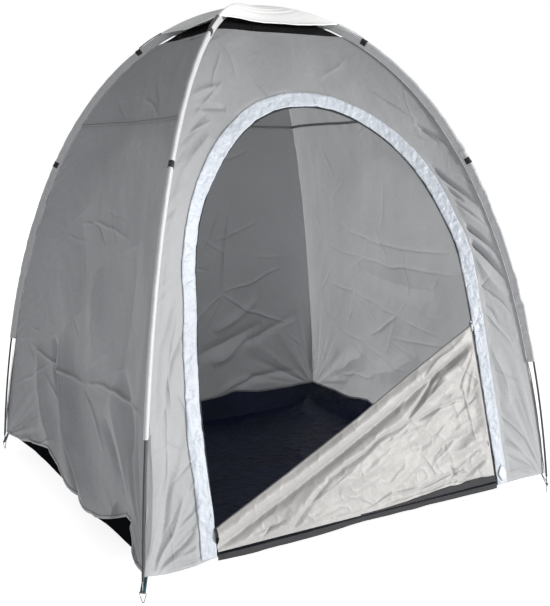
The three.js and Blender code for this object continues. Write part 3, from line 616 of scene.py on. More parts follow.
# ---- materials ----
def add_node(tree, kind, inputs=(), **settings):
    made = tree.nodes.new(kind)
    for key, value in settings.items():
        setattr(made, key, value)
    for key, value in dict(inputs).items():
        if isinstance(value, bpy.types.NodeSocket):
            tree.links.new(value, made.inputs[key])
        else:
            made.inputs[key].default_value = value
    return made


def new_material(name):
    """A blank material, its tree, and its UV and object coordinates."""
    material = bpy.data.materials.new(name)
    material.use_nodes = True
    tree = material.node_tree
    tree.nodes.clear()
    places = add_node(tree, "ShaderNodeTexCoord").outputs
    return material, tree, places["UV"], places["Object"]


def finished(material, tree, surface):
    add_node(tree, "ShaderNodeOutputMaterial", {"Surface": surface})
    return material


def ramp(tree, factor, stops):
    """A colour ramp; stops are (position, colour or grey)."""
    made = add_node(tree, "ShaderNodeValToRGB", {"Fac": factor})
    elements = made.color_ramp.elements
    while len(elements) < len(stops):
        elements.new(0.5)
    for element, (position, value) in zip(elements, stops):
        element.position = position
        colour = (value,) * 3 if isinstance(value, (int, float)) else value
        element.color = (*colour, 1)
    return made.outputs["Color"]


def shade(colour, factor):
    return tuple(min(1.0, c * factor) for c in colour)


def speckle(tree, vector, scale, detail, more=(), **settings):
    """The value of a noise texture; more holds its further inputs."""
    inputs = {"Vector": vector, "Scale": scale, "Detail": detail, **dict(more)}
    return add_node(tree, "ShaderNodeTexNoise", inputs, **settings).outputs["Fac"]


def patchy(tree, factor, colour, blotch):
    """A tone a little darker and a little paler than colour."""
    return ramp(tree, factor, [(0.30, shade(colour, 1 - blotch)), (0.70, shade(colour, 1 + blotch))])


def spread(tree, value, low, high, start=0.0, end=1.0):
    """value, carried from start..end to low..high."""
    inputs = {"Value": value, "From Min": start, "From Max": end, "To Min": low, "To Max": high}
    return add_node(tree, "ShaderNodeMapRange", inputs).outputs[0]


def times(tree, one, other):
    inputs = {0: 1.0, 6: one, 7: other}
    return add_node(tree, "ShaderNodeMix", inputs, data_type="RGBA", blend_type="MULTIPLY").outputs[2]


def math_node(tree, one, other, operation):
    return add_node(tree, "ShaderNodeMath", {0: one, 1: other}, operation=operation).outputs[0]


def threads(tree, vector, scale, more):
    """Two sets of threads that cross, as a height in 0..1."""
    inputs = {"Vector": vector, "Scale": scale, **more}
    sets = [add_node(tree, "ShaderNodeTexWave", inputs, bands_direction=way) for way in ("X", "Y")]
    return math_node(tree, *(each.outputs["Fac"] for each in sets), "MAXIMUM")


WAVE_SCALE = 0.314159  # of a wave texture whose bands are 1 m apart


def weave_height(tree, uv, thread, slant=0.0):
    """Two sets of threads that cross, a thread's width apart."""
    turned = add_node(tree, "ShaderNodeMapping", {"Vector": uv, "Rotation": (0, 0, slant)}).outputs["Vector"]
    return threads(tree, turned, WAVE_SCALE / (2 * thread), {"Distortion": 0.4, "Detail": 1.0})


def bump(tree, height, distance, strength=1.0, below=None):
    inputs = {"Height": height, "Distance": distance, "Strength": strength}
    if below is not None:
        inputs["Normal"] = below
    return add_node(tree, "ShaderNodeBump", inputs).outputs["Normal"]


def skin(tree, tone, gloss, normal, more=()):
    """The Principled shader of a tone, a roughness and a normal; more holds its further inputs."""
    inputs = {"Base Color": tone, "Roughness": gloss, "Normal": normal, **dict(more)}
    return add_node(tree, "ShaderNodeBsdfPrincipled", inputs).outputs[0]


def press_lines(tree, spot):
    """Straight lines here and there, where the cloth was folded into its bag."""
    stray = add_node(tree, "ShaderNodeTexNoise", {"Vector": spot, "Scale": 3.0, "Detail": 2.0})
    inputs = {0: 0.10, 4: spot, 5: stray.outputs["Color"]}
    bent = add_node(tree, "ShaderNodeMix", inputs, data_type="VECTOR").outputs[1]
    cells = add_node(tree, "ShaderNodeTexVoronoi", {"Vector": bent, "Scale": 4.4}, feature="DISTANCE_TO_EDGE")
    line = ramp(tree, cells.outputs["Distance"], [(0.0, 1.0), (0.030, 0.0)])
    kept = ramp(tree, speckle(tree, spot, 4.6, 2.0), [(0.48, 0.0), (0.66, 1.0)])
    return math_node(tree, line, kept, "MULTIPLY")


def cloth(
    name, colour, roughness=0.62, through=0.0, crinkle=0.0012, crease_scale=9.0, sheen=0.12, thread=0.0004,
    blotch=0.05, specular=0.35, slant=0.0, glow=1.0, press=0.0, high=1.0,
):
    """Woven cloth: threads, crinkles, and an uneven tone.

    through is the share of light that it lets through, glow how much paler it is against the light, and press
    the height of its press lines. high is the tone near the roof, as a share of the tone elsewhere: painted
    shade that darkens the upper part of the walls.
    """
    material, tree, uv, spot = new_material(name)
    soft = speckle(tree, spot, 34.0, 5.0, {"Distortion": 0.5})
    packed = speckle(tree, spot, crease_scale, 3.0, {"Distortion": 0.3}, noise_type="RIDGED_MULTIFRACTAL")
    normal = bump(tree, packed, crinkle, 0.5)
    if press:
        normal = bump(tree, press_lines(tree, spot), press, 0.6, normal)
    normal = bump(tree, soft, crinkle, 0.7, normal)
    normal = bump(tree, weave_height(tree, uv, thread, slant), thread * 0.35, 0.5, normal)
    patches = speckle(tree, spot, 2.6, 6.0, {"Roughness": 0.65})
    grain = ramp(tree, speckle(tree, spot, 260.0, 2.0), [(0.35, 0.90), (0.65, 1.0)])
    tone = times(tree, patchy(tree, patches, colour, blotch), grain)
    # painted shade: the tone falls from 1.15 m up to its share high at 2 m, towards the roof
    if high != 1.0:
        up = add_node(tree, "ShaderNodeSeparateXYZ", {"Vector": spot}).outputs["Z"]
        tone = times(tree, tone, spread(tree, up, 1.0, high, 1.15, 2.0))
    gloss = spread(tree, soft, roughness - 0.08, roughness + 0.08)
    surface = skin(tree, tone, gloss, normal, {
        "Sheen Weight": sheen, "Sheen Roughness": 0.4, "Specular IOR Level": specular,
    })
    if through:
        lit = patchy(tree, patches, shade(colour, glow), blotch)
        light = add_node(tree, "ShaderNodeBsdfTranslucent", {"Color": lit, "Normal": normal}).outputs[0]
        surface = add_node(tree, "ShaderNodeMixShader", {0: through, 1: surface, 2: light}).outputs[0]
    return finished(material, tree, surface)


def netting(name, colour, cell):
    """Fine net: dark threads round open cells that let light through."""
    material, tree, uv, spot = new_material(name)
    cover = threads(tree, uv, WAVE_SCALE / cell, {"Distortion": 0.6})
    tone = ramp(tree, speckle(tree, spot, 30.0, 4.0), [(0.3, shade(colour, 0.7)), (0.7, shade(colour, 1.5))])
    surface = skin(tree, tone, 0.8, bump(tree, cover, 0.0004, 0.6), {"Specular IOR Level": 0.1})
    clear = add_node(tree, "ShaderNodeBsdfTransparent").outputs[0]
    thread = ramp(tree, cover, [(0.10, 0.0), (0.24, 1.0)])
    mixed = add_node(tree, "ShaderNodeMixShader", {0: thread, 1: clear, 2: surface}).outputs[0]
    return finished(material, tree, mixed)


def webbing(name, colour, rib=0.0016):
    """Thick woven tape with slanting ribs."""
    material, tree, uv, spot = new_material(name)
    grain = speckle(tree, spot, 150.0, 5.0)
    tone = ramp(tree, grain, [(0.3, shade(colour, 0.7)), (0.72, shade(colour, 1.6))])
    normal = bump(tree, weave_height(tree, uv, rib, 0.785), 0.0004, 0.7)
    normal = bump(tree, weave_height(tree, uv, rib / 4), 0.0001, 0.5, normal)
    surface = skin(tree, tone, 0.75, normal, {"Sheen Weight": 0.25, "Specular IOR Level": 0.3})
    return finished(material, tree, surface)


def metal(name, colour, roughness):
    """Plated or cast metal, with fine scratches and dulled patches."""
    material, tree, _, spot = new_material(name)
    drawn = add_node(tree, "ShaderNodeMapping", {"Vector": spot, "Scale": (1, 1, 0.15)}).outputs[0]
    lines = speckle(tree, drawn, 300.0, 6.0)
    tone = ramp(tree, speckle(tree, spot, 45.0, 5.0), [(0.35, shade(colour, 0.72)), (0.60, colour)])
    gloss = spread(tree, lines, roughness * 0.6, roughness * 1.5)
    surface = skin(tree, tone, gloss, bump(tree, lines, 0.0001, 0.3), {"Metallic": 1.0})
    return finished(material, tree, surface)


def resin(name, colour, roughness):
    """Glass fibre or nylon: smooth, with fibres along it and rubbed spots."""
    material, tree, uv, spot = new_material(name)
    along = add_node(tree, "ShaderNodeMapping", {"Vector": uv, "Scale": (60, 1.5, 1)}).outputs[0]
    fibres = speckle(tree, along, 40.0, 6.0)
    tone = ramp(tree, fibres, [(0.3, shade(colour, 0.7)), (0.7, shade(colour, 1.4))])
    gloss = spread(tree, speckle(tree, spot, 28.0, 5.0), roughness - 0.1, roughness + 0.15)
    return finished(material, tree, skin(tree, tone, gloss, bump(tree, fibres, 0.0001, 0.3)))


# The grey taffeta of the walls; high=0.68 paints shade on their upper parts, towards the roof.
SHELL = cloth(
    "grey taffeta", (0.385, 0.392, 0.408), through=0.27, glow=1.45, high=0.68, crinkle=0.0034, press=0.0018,
)
# A darker copy of the grey taffeta that lets less light through: painted shade for the left wall, which faces
# away from the key lamp.
SHELL_PAINTED_SHADE = cloth(
    "grey taffeta with painted shade, left wall", (0.262, 0.270, 0.285), through=0.08, glow=1.4,
    crinkle=0.0030, press=0.0014,
)
# Darker grey taffeta for the corner facings: painted shadow of the pole beside them.
SHELL_PAINTED_SHADOW = cloth("grey taffeta with painted pole shadow, corner facing", (0.25, 0.255, 0.27))
FLAP_OUT = cloth(
    "silver taffeta", (0.306, 0.304, 0.301), roughness=0.45, sheen=0.2, crinkle=0.0030, press=0.0022,
)
# The sleeves are one cloth in three tones: palest on the front left where the key lamp falls, a little paler on
# the front right, darker at the back: painted light and painted shade.
SLEEVE_PAINTED_LIGHT = cloth("sleeve taffeta, paler as painted light", (0.47, 0.475, 0.49), roughness=0.5)
SLEEVE_PAINTED_HALF_LIGHT = cloth("sleeve taffeta, a little paler as painted light", (0.44, 0.45, 0.465), roughness=0.5)
SLEEVE_PAINTED_SHADE = cloth("sleeve taffeta, darker as painted shade", (0.36, 0.365, 0.38))
TRIM = cloth(
    "crinkled trim", (0.40, 0.435, 0.485), roughness=0.45, crinkle=0.0090, crease_scale=30.0, blotch=0.12,
)
PATCH = cloth("bright patch", (0.50, 0.52, 0.555), roughness=0.45, crinkle=0.001)
CAP = cloth("white cap taffeta", (0.94, 0.95, 0.97), roughness=0.5, crinkle=0.0014, through=0.06)
TUB_IN = cloth(
    "navy floor", (0.006, 0.013, 0.046), roughness=0.34, crinkle=0.012, crease_scale=11.0, sheen=0.0,
    specular=0.22, thread=0.0012, blotch=0.55,
)
TUB_OUT = cloth(
    "black tub", (0.0035, 0.0038, 0.0045), roughness=0.8, sheen=0.0, specular=0.0,
    thread=0.0012, crinkle=0.003,
)
SILL = cloth("dark sill cloth", (0.034, 0.035, 0.038), roughness=0.7, specular=0.12, sheen=0.0)
NET = netting("black netting", (0.006, 0.006, 0.007), 0.0022)
BLACK_TAPE = webbing("black webbing", (0.010, 0.010, 0.012))
TEAL_TAPE = webbing("dark teal webbing", (0.020, 0.060, 0.080))
ZIP_TAPE = cloth("zip tape", (0.020, 0.022, 0.030), roughness=0.75, thread=0.0006, slant=0.6, crinkle=0.0004)
NYLON = resin("zip coil", (0.025, 0.027, 0.035), 0.35)
FIBREGLASS = resin("dark glass fibre", (0.022, 0.024, 0.027), 0.38)
STEEL = metal("plated steel", (0.40, 0.42, 0.44), 0.28)
ZINC = metal("zinc alloy", (0.20, 0.205, 0.22), 0.42)
THREAD_PALE = webbing("pale thread", (0.55, 0.56, 0.58), 0.0003)
THREAD_GREY = webbing("grey thread", (0.20, 0.205, 0.215), 0.0003)


# ---- walls ----
def edge_lines(side, a, z, out):
    """A stitching line on a wall: its points and the cloth's normals."""
    path = wall_point(side, a, z, out)
    lifted = wall_point(side, a, z, out + 0.002)
    return path, unit(lifted - path)


def wall_panel(side, level):
    """One wall's cloth below or above its seam."""
    lower = level == "lower"
    rows, columns = (290, 330) if lower else (90, 260)
    u = np.linspace(-1, 1, columns)[:, None]
    t = np.linspace(0, 1, rows)[None, :]
    if lower:
        low = hem_height(side, u * HEM_HALF)
        z = lerp(low, SEAM_Z + 0.010, t)
        out = -0.0012 * smooth(SEAM_Z - 0.012, SEAM_Z, z)
    else:
        z = lerp(SEAM_Z - 0.004, CLOTH_TOP_Z, t) + 0 * u
        out = 0.0012 * (1 - smooth(SEAM_Z + 0.01, SEAM_Z + 0.03, z))
    a = u * (wall_half(z) - RIDGE_GAP)
    name = "wall_" + side + "_" + level
    # the left wall takes the darker copy of the taffeta, painted shade
    material = SHELL_PAINTED_SHADE if side == "left" else SHELL
    piece = grid_object("cloth_" + name, wall_point(side, a, z, out), material, np.stack([a, z], -1))
    place(piece, "tent", "shell_cloth", name)
    return piece


def wall_strip(name, side, a, z, width, out):
    """A narrow folded band on a wall, along the line (a, z), width up the wall."""
    lift = np.linspace(0, width, 4)[None, :]
    crown = 0.0006 * np.sin(math.pi * np.linspace(0, 1, 4))[None, :]
    points = wall_point(side, a[:, None] + 0 * lift, z[:, None] + lift, out + crown)
    uv = np.stack([a[:, None] + 0 * lift, z[:, None] + lift], -1)
    return place(thicken(grid_object(name, points, SHELL, uv), BAND_THICK), "tent", "shell_cloth")


STRIP_INSET = 0.004  # the hems and seams stop this far short of the ridges
for wall in ("left", "right", "back"):
    lower_panel = wall_panel(wall, "lower")
    upper_panel = wall_panel(wall, "upper")
    reach = np.linspace(-1, 1, 260) * (HEM_HALF - STRIP_INSET)
    hem_z = hem_height(wall, reach)
    hem = wall_strip("hem_" + wall, wall, reach, hem_z, 0.014, 0.0012)
    across = np.linspace(-1, 1, 200) * (wall_half(SEAM_Z) - STRIP_INSET)
    seam_z = SEAM_Z + 0 * across
    seam = wall_strip("seam_" + wall, wall, across, seam_z - 0.004, 0.011, 0.0024)
    rows_of_thread = [edge_lines(wall, reach, hem_z + 0.011, 0.0021)]
    for lift in (-0.001, 0.004):
        rows_of_thread.append(edge_lines(wall, across, seam_z + lift, 0.0035))
    stitches("stitching_" + wall, rows_of_thread, "tent", THREAD_GREY)


# ---- the door's arch ----
def make_arch_line():
    """The trim's outer edge from the sill up to the crown, as rows of length, x, z and inward normal."""
    jamb_z = np.linspace(HEM_Z, ARCH_SPRING_Z, 41)
    angle = np.linspace(0, math.pi / 2, 121)[1:]
    round_z = lerp(ARCH_SPRING_Z, ARCH_TOP_Z, np.sin(angle))
    x = np.concatenate([arch_half(jamb_z), arch_half(round_z) * np.cos(angle)])
    z = np.concatenate([jamb_z, round_z])
    run = lengths(np.stack([x, z], -1))
    way = unit(np.stack([np.gradient(x), np.gradient(z)], -1))
    normal = np.stack([-way[:, 1], way[:, 0]], -1)
    normal[-1] = (0, -1)
    return run, x, z, normal


ARCH_RUN, ARCH_X, ARCH_LINE_Z, ARCH_NORMAL = make_arch_line()
ARCH_LENGTH = ARCH_RUN[-1]

# How the arch hangs off its cut line: the left jamb bows out, the shoulders lean left, the crown rides up.
# Each shift has its size, and the height and reach of the place where it is largest.
JAMB_BOW, JAMB_BOW_Z, JAMB_BOW_REACH = 0.040, 0.72, 0.46
LEAN, LEAN_Z, LEAN_REACH = 0.016, 1.34, 0.20
CROWN_UP = 0.016


def arch_slip(z, left):
    """How far the cloth beside the arch has slipped sideways, and up."""
    bow = -JAMB_BOW * np.exp(-(((z - JAMB_BOW_Z) / JAMB_BOW_REACH) ** 2))
    lean = -LEAN * np.exp(-(((z - LEAN_Z) / LEAN_REACH) ** 2))
    return np.where(left, bow + lean, lean), CROWN_UP * smooth(ARCH_SPRING_Z, ARCH_TOP_Z, z)


def arch_point(s, inset):
    """A point of the arch; s runs 0..1 from the left foot over the crown to the right foot."""
    s, inset = np.broadcast_arrays(np.asarray(s, float), np.asarray(inset, float))
    run = np.where(s <= 0.5, 2 * s, 2 * (1 - s)) * ARCH_LENGTH
    x, z = (np.interp(run, ARCH_RUN, line) for line in (ARCH_X, ARCH_LINE_Z))
    normal = unit(np.stack([np.interp(run, ARCH_RUN, ARCH_NORMAL[:, k]) for k in (0, 1)], -1))
    x = x + normal[..., 0] * inset
    z = z + normal[..., 1] * inset
    aside, up = arch_slip(z, s <= 0.5)
    return np.where(s <= 0.5, -x, x) + aside, z + up


def arch_strip(name, insets, out, columns, rows, material, wave=None):
    s = np.linspace(0, 1, rows)[:, None]
    t = np.linspace(0, 1, columns)[None, :]
    inset = lerp(insets[0], insets[1], t)
    length = s * 2 * ARCH_LENGTH
    if wave is not None:
        inset = inset + wave(length, t)
        out = out(length, t)
    a, z = arch_point(s, inset)
    uv = np.stack(np.broadcast_arrays(inset, length), -1)
    return grid_object(name, wall_point("front", a, z, out), material, uv)


FRONT_HEM_DIP = 0.014  # how far the hem left of the door hangs below its two ends


def front_wall():
    """The door's wall, as a band of cloth from the arch out to the hem, the ridges and the roof."""
    rows, columns = 1240, 104
    corner = 0.36
    s = np.linspace(0, 1, rows)[:, None]
    t = np.linspace(0, 1, columns)[None, :]
    inner_a, inner_z = arch_point(s, TRIM_WIDTH - 0.014)
    rising = np.minimum(s, 1 - s) < corner
    climb = clamp01(np.minimum(s, 1 - s) / corner)
    outer_z = np.where(rising, lerp(HEM_Z - 0.006, CLOTH_TOP_Z, climb), CLOTH_TOP_Z)
    level = lerp(-1, 1, (s - corner) / (1 - 2 * corner)) * wall_half(CLOTH_TOP_Z)
    outer_a = np.where(rising, np.sign(s - 0.5) * (wall_half(outer_z) - RIDGE_GAP), level)
    a = lerp(inner_a, outer_a, t)
    dip = FRONT_HEM_DIP * np.sin(math.pi * t) * (1 - smooth(0, 0.06, s))
    z = lerp(inner_z, outer_z, t) - dip
    piece = grid_object("cloth_wall_front", wall_point("front", a, z), SHELL, np.stack([a, z], -1))
    return place(piece, "tent", "shell_cloth", "wall_front")


front = front_wall()


def trim_wave(length, t):
    """Sideways wander of the trim's two edges."""
    return 0.0035 * noise(length / 0.13, 3 * t, 71) + 0.0015 * noise(length / 0.03, 5 * t, 72)


def trim_out(length, t):
    """Height of the trim over the wall: crinkles, and edges turned under."""
    crumple = 0.0016 * creased(length / 0.035, t * 2.2, 73) + 0.0014 * layered(length / 0.06, t * 1.3, 74)
    return 0.0022 + crumple * smooth(0, 0.2, np.minimum(t, 1 - t) + 0.05)


trim = arch_strip("door_trim_cloth", (0.0, TRIM_WIDTH), trim_out, 12, 1100, TRIM, trim_wave)
thicken(trim, BAND_THICK)
place(trim, "tent", "trim_cloth", "door_trim")


def arch_thread(insets, out):
    s = np.linspace(0, 1, 700)
    lines = []
    for inset in insets:
        a, z = arch_point(s, inset)
        lines.append(edge_lines("front", a, z, out))
    return lines


stitches("stitching_trim", arch_thread((0.005, TRIM_WIDTH - 0.005), 0.0050), "tent", THREAD_PALE)


def foot_patch():
    """The bright folded end of the trim at the right foot of the arch."""
    t = np.linspace(0, 1, 12)[:, None]
    w = np.linspace(-1, 1, 9)[None, :]
    z = lerp(HEM_Z + 0.012, HEM_Z + 0.078, t)
    middle = arch_half(z, TRIM_WIDTH * 0.45)
    narrow = 0.14 + 0.86 * (1 - np.abs(2 * t - 1)) ** 0.8
    a = middle + w * 0.024 * narrow
    out = 0.0068 + 0.0016 * np.cos(w * math.pi / 2) + 0.001 * noise(a / 0.01, z / 0.02, 81)
    points = wall_point("front", a, z + 0 * w, out)
    piece = thicken(grid_object("trim_end_patch", points, PATCH), BAND_THICK)
    return place(piece, "tent", "trim_cloth")


patch = foot_patch()

jamb_tape = arch_strip("jamb_tape", (TRIM_WIDTH - 0.0132, TRIM_WIDTH + 0.0016), 0.0, 5, 620, ZIP_TAPE)
place(jamb_tape, "tent", "zip_tape", "jamb_zip_tape")


def zip_teeth(name, centres, ups, outs, body, reach):
    """One side of a zip's coil as many small rounded teeth. reach is the way from tape to chain."""
    n = len(centres)
    corners = []
    for face in (1, -1):
        for high, share, deep in ((-0.55, 0, 0.35), (0.55, 0, 0.35), (0.55, 1, 0.6), (-0.55, 1, 0.6)):
            middle = centres + reach * (share - 0.5)
            corners.append(middle + ups * high * TOOTH_HALF + outs * (face * deep) * TOOTH_DEPTH)
    points = np.stack(corners, 1).reshape(-1, 3)
    quads = ((0, 1, 2, 3), (7, 6, 5, 4), (0, 4, 5, 1), (1, 5, 6, 2), (2, 6, 7, 3), (3, 7, 4, 0))
    faces = np.concatenate([8 * np.arange(n)[:, None] + np.array(q) for q in quads])
    return place(object_of(name, points, faces, NYLON), body, "zip_tape")


def chain(name, s, inset, body, sense):
    """A row of teeth along the arch. sense is 1 on the jamb's side and -1 on the flap's."""
    a, z = arch_point(s, inset)
    centre = wall_point("front", a, z)
    out = unit(wall_point("front", a, z, 0.002) - centre)
    inner = wall_point("front", *arch_point(s, inset + 0.002))
    reach = unit(inner - centre) * TOOTH_REACH * sense
    up = np.cross(unit(reach), out)
    return zip_teeth(name, centre, up, out, body, reach)


teeth_at = np.arange(0.006, 2 * ARCH_LENGTH - 0.006, TEETH_PITCH) / (2 * ARCH_LENGTH)
chain("jamb_coil", teeth_at, CHAIN_INSET - 0.0020, "tent", 1)


def sill():
    """The dark strip of cloth under the door."""
    a = np.linspace(-1, 1, 300)[:, None] * SILL_HALF
    t = np.linspace(0, 1, 9)[None, :]
    z = lerp(SILL_LOW_Z + 0.001 * noise(a / 0.08, 1, 91), SILL_CLOTH_TOP, t)
    out = 0.0008 + 0.0020 * layered(a / 0.09, t * 1.5, 92) * np.sin(math.pi * clamp01(t * 0.8 + 0.1))
    piece = grid_object("sill_cloth_strip", wall_point("front", a + 0 * t, z, out), SILL)
    return place(thicken(piece, COATED_THICK), "tent", "sill_cloth", "sill_strip")


sill_piece = sill()


# ---- door flap ----
def fold_height(s):
    """The height of the flap's fold; s runs 0..1 from its left end to its right end."""
    return lerp(FLAP_LEFT_Z, FLAP_TOP_Z - 0.008, s) - 0.014 * np.sin(math.pi * s)


def fold_over(a):
    """The height of the fold above a place across the door."""
    return fold_height(clamp01((a + 0.68) / 1.34))


FLAP_FOLDS = [
    ((-0.42, 0.11), (-0.17, 0.28), 0.013, -0.011),
    ((-0.20, 0.27), (0.27, 0.44), 0.012, -0.014),
    ((0.22, 0.43), (0.66, 0.74), 0.010, -0.013),
    ((0.18, 0.46), (0.62, 0.77), 0.007, 0.005),
    ((0.34, 0.50), (0.64, 0.72), 0.007, -0.006),
    ((-0.50, 0.13), (0.02, 0.33), 0.024, 0.009),
    ((0.26, 0.45), (0.48, 0.58), 0.010, 0.009),
    ((0.27, 0.43), (0.58, 0.49), 0.009, -0.008),
    ((0.48, 0.63), (0.63, 0.73), 0.009, -0.009),
    ((0.54, 0.50), (0.65, 0.72), 0.008, -0.006),
    ((0.58, 0.44), (0.66, 0.66), 0.010, 0.006),
    ((0.30, 0.38), (0.60, 0.55), 0.026, 0.009),
    ((-0.14, 0.23), (0.20, 0.31), 0.024, 0.007),
    ((0.06, 0.27), (0.40, 0.36), 0.020, -0.006),
    ((0.33, 0.27), (0.66, 0.37), 0.016, -0.006),
    ((0.34, 0.23), (0.64, 0.31), 0.022, 0.007),
    ((0.44, 0.15), (0.68, 0.22), 0.012, -0.006),
    ((-0.56, 0.15), (-0.38, 0.18), 0.010, -0.005),
    ((-0.60, 0.13), (-0.10, 0.17), 0.012, 0.005),
]
FLAP_CREASES = [
    ((-0.03, 0.13), (0.28, 0.17), 0.006, 0.005),
    ((0.20, 0.15), (0.52, 0.19), 0.006, -0.006),
    ((0.44, 0.20), (0.55, 0.19), 0.006, 0.006),
    ((0.47, 0.17), (0.44, 0.22), 0.006, -0.006),
    ((0.42, 0.16), (0.52, 0.21), 0.006, -0.005),
    ((0.50, 0.40), (0.66, 0.48), 0.006, 0.004),
    ((0.52, 0.34), (0.66, 0.41), 0.006, -0.004),
    ((0.30, 0.30), (0.36, 0.20), 0.006, 0.003),
    ((-0.10, 0.20), (0.02, 0.14), 0.006, 0.003),
    ((0.56, 0.56), (0.60, 0.30), 0.006, 0.004),
    ((0.10, 0.36), (0.34, 0.41), 0.006, 0.004),
    ((-0.30, 0.14), (0.16, 0.15), 0.006, 0.003),
    ((0.10, 0.13), (0.60, 0.15), 0.006, -0.004),
    ((-0.55, 0.115), (-0.45, 0.17), 0.007, -0.006),
]


def flap_relief(a, z, top):
    """Folds of the zipped layer: a rolled edge under the fold, then bands that run down with it."""
    below = (top - z) * 0.80  # square to the fold
    spread = smooth(0.66, 0.30, a) * 0.65 + 0.35
    roll = 0.017 * np.exp(-(((below - 0.028) / 0.024) ** 2)) * spread
    roll -= 0.014 * np.exp(-(((below - 0.068) / 0.012) ** 2)) * spread
    roll += 0.010 * np.exp(-(((below - 0.105) / 0.026) ** 2)) * spread * smooth(-0.5, -0.2, a)
    slack = 0.007 * layered(a / 0.30 - z / 0.16, z / 0.30, 101)
    # small creases that run with the fold, and a few across it
    along = a * 0.90 + z * 0.44
    across = z * 0.90 - a * 0.44
    fine = 0.0028 * (creased(along / 0.16, across / 0.045, 103) ** 2 - 0.5)
    fine += 0.0018 * (creased(along / 0.07, across / 0.06, 104) ** 3 - 0.4)
    folds = strokes(a, z, FLAP_FOLDS, FLAP_CREASES, 1.15)
    puckers = 0.004 * noise(a / 0.028 + z / 0.05, z / 0.05, 105) * np.exp(-(z - FLAP_BASE_Z) / 0.030)
    hold_right = smooth(0.000, 0.050, arch_half(z, FLAP_EDGE) - a)
    hold_low = smooth(0.0, 0.042, z - FLAP_BASE_Z)
    return (roll + slack + fine + folds + puckers) * hold_right * hold_low


def flap_surface():
    """The zipped layer, the turn at the fold and the ragged part behind it, in columns from the hem up."""
    columns = 430
    s = np.linspace(0, 1, columns)[:, None]
    top = fold_height(s)
    rise = np.linspace(0, 1, 160)[None, :]
    turn = np.linspace(0, math.pi, 9)[None, 1:-1]
    drop = np.linspace(0, 1, 44)[None, :]
    radius = FLAP_LAYER_GAP / 2
    front_z = lerp(FLAP_BASE_Z, top - 0.008, rise)
    front_out = 0.0022 + 0.0016 * smooth(FLAP_BASE_Z + 0.03, FLAP_BASE_Z, front_z)
    fold_z = top - 0.008 + radius * np.sin(turn)
    fold_out = 0.0022 - radius + radius * np.cos(turn) + 0 * s
    ragged = FLAP_BASE_Z + 0.036 + 0.012 * noise(s * 9, 0.3, 107)
    back_z = lerp(top - 0.008, ragged, drop)
    back_out = -FLAP_LAYER_GAP - 0.010 * np.sin(math.pi * drop) * (0.6 + 0.6 * noise(s * 7, drop * 2, 109))
    z = np.concatenate([front_z, fold_z, back_z], 1)
    layer_out = np.concatenate([front_out, fold_out, back_out], 1)
    share = np.concatenate([0 * rise + 1, 0 * turn + 1, 1 - drop * 0.75], 1)
    left = arch_slip(z, True)[0] - arch_half(z, FLAP_EDGE - 0.003)
    a = lerp(left, arch_half(z, FLAP_EDGE), s)
    out = layer_out + share * flap_relief(a, np.minimum(z, top - 0.008), top)
    points = wall_point("front", a, z, out - relief("front", a, z))
    return points, a, z


def door_flap():
    points, a, z = flap_surface()
    length = np.concatenate([np.zeros_like(z[:, :1]), np.cumsum(np.abs(np.diff(z, axis=1)), 1)], 1)
    piece = grid_object("door_flap_cloth", points, FLAP_OUT, np.stack([a, length], -1))
    return place(piece, "door_flap", "flap_cloth", "door_flap")


flap = door_flap()


def flap_tape():
    z = np.linspace(FLAP_BASE_Z + 0.005, FLAP_TOP_Z - 0.020, 160)[:, None]
    t = np.linspace(0, 1, 5)[None, :]
    a = arch_half(z, lerp(FLAP_TAPE_INSETS[0] - 0.0006, FLAP_TAPE_INSETS[1] + 0.002, t))
    piece = grid_object("flap_tape", wall_point("front", a, z + 0 * t, 0.0002), ZIP_TAPE)
    return place(thicken(piece, BAND_THICK), "door_flap", "zip_tape", "flap_zip_tape")


tape = flap_tape()
closed_z = np.arange(FLAP_BASE_Z + 0.009, FLAP_TOP_Z - 0.024, TEETH_PITCH)
closed_run = np.interp(closed_z, ARCH_LINE_Z[:60], ARCH_RUN[:60])
chain("flap_coil", 1 - closed_run / (2 * ARCH_LENGTH), CHAIN_INSET + 0.0034, "door_flap", -1)


def flap_thread():
    z = np.linspace(FLAP_BASE_Z + 0.003, FLAP_TOP_Z - 0.03, 260)
    beside = edge_lines("front", arch_half(z, FLAP_EDGE + 0.0035), z, 0.0030)
    a = np.linspace(-0.66, 0.66, 500)
    low = FLAP_BASE_Z + 0.006 + 0 * a
    out = flap_relief(a, low, fold_over(a)) - relief("front", a, low) + 0.0040
    return stitches("stitching_flap", [beside, edge_lines("front", a, low, out)], "door_flap", THREAD_PALE)


flap_thread()
FACING_WIDTH = 0.026  # of the dark facing on the flap's hem, at the right jamb


def flap_facing():
    """A dark strip on the flap's hem that widens towards the right jamb."""
    a = np.linspace(-0.05, arch_half(FLAP_BASE_Z, FLAP_EDGE) - 0.002, 240)[:, None]
    t = np.linspace(0, 1, 9)[None, :]
    width = 0.004 + FACING_WIDTH * smooth(0.0, 0.60, a) * (1 + 0.22 * noise(a / 0.06, 2, 93))
    z = FLAP_BASE_Z + 0.0005 + width * t
    out = flap_relief(a + 0 * t, z, fold_over(a)) - relief("front", a + 0 * t, z)
    piece = grid_object("flap_hem_facing", wall_point("front", a + 0 * t, z, out + 0.0050), SILL)
    return place(thicken(piece, BAND_THICK), "door_flap", "sill_cloth")


facing_strip = flap_facing()


# ---- groundsheet ----
def square(u):
    """A grid over a square: its points, their distance to the middle, and how near they are to a diagonal."""
    x, y = np.meshgrid(u, u, indexing="ij")
    far = np.maximum(np.maximum(np.abs(x), np.abs(y)), 1e-9)
    return x, y, far, np.minimum(np.abs(x), np.abs(y)) / far


def side_of(x, y):
    """The wall that a point of the square is nearest to, counted as in TURNS."""
    return np.where(np.abs(x) > np.abs(y), np.where(x > 0, 1, 3), np.where(y > 0, 2, 0))


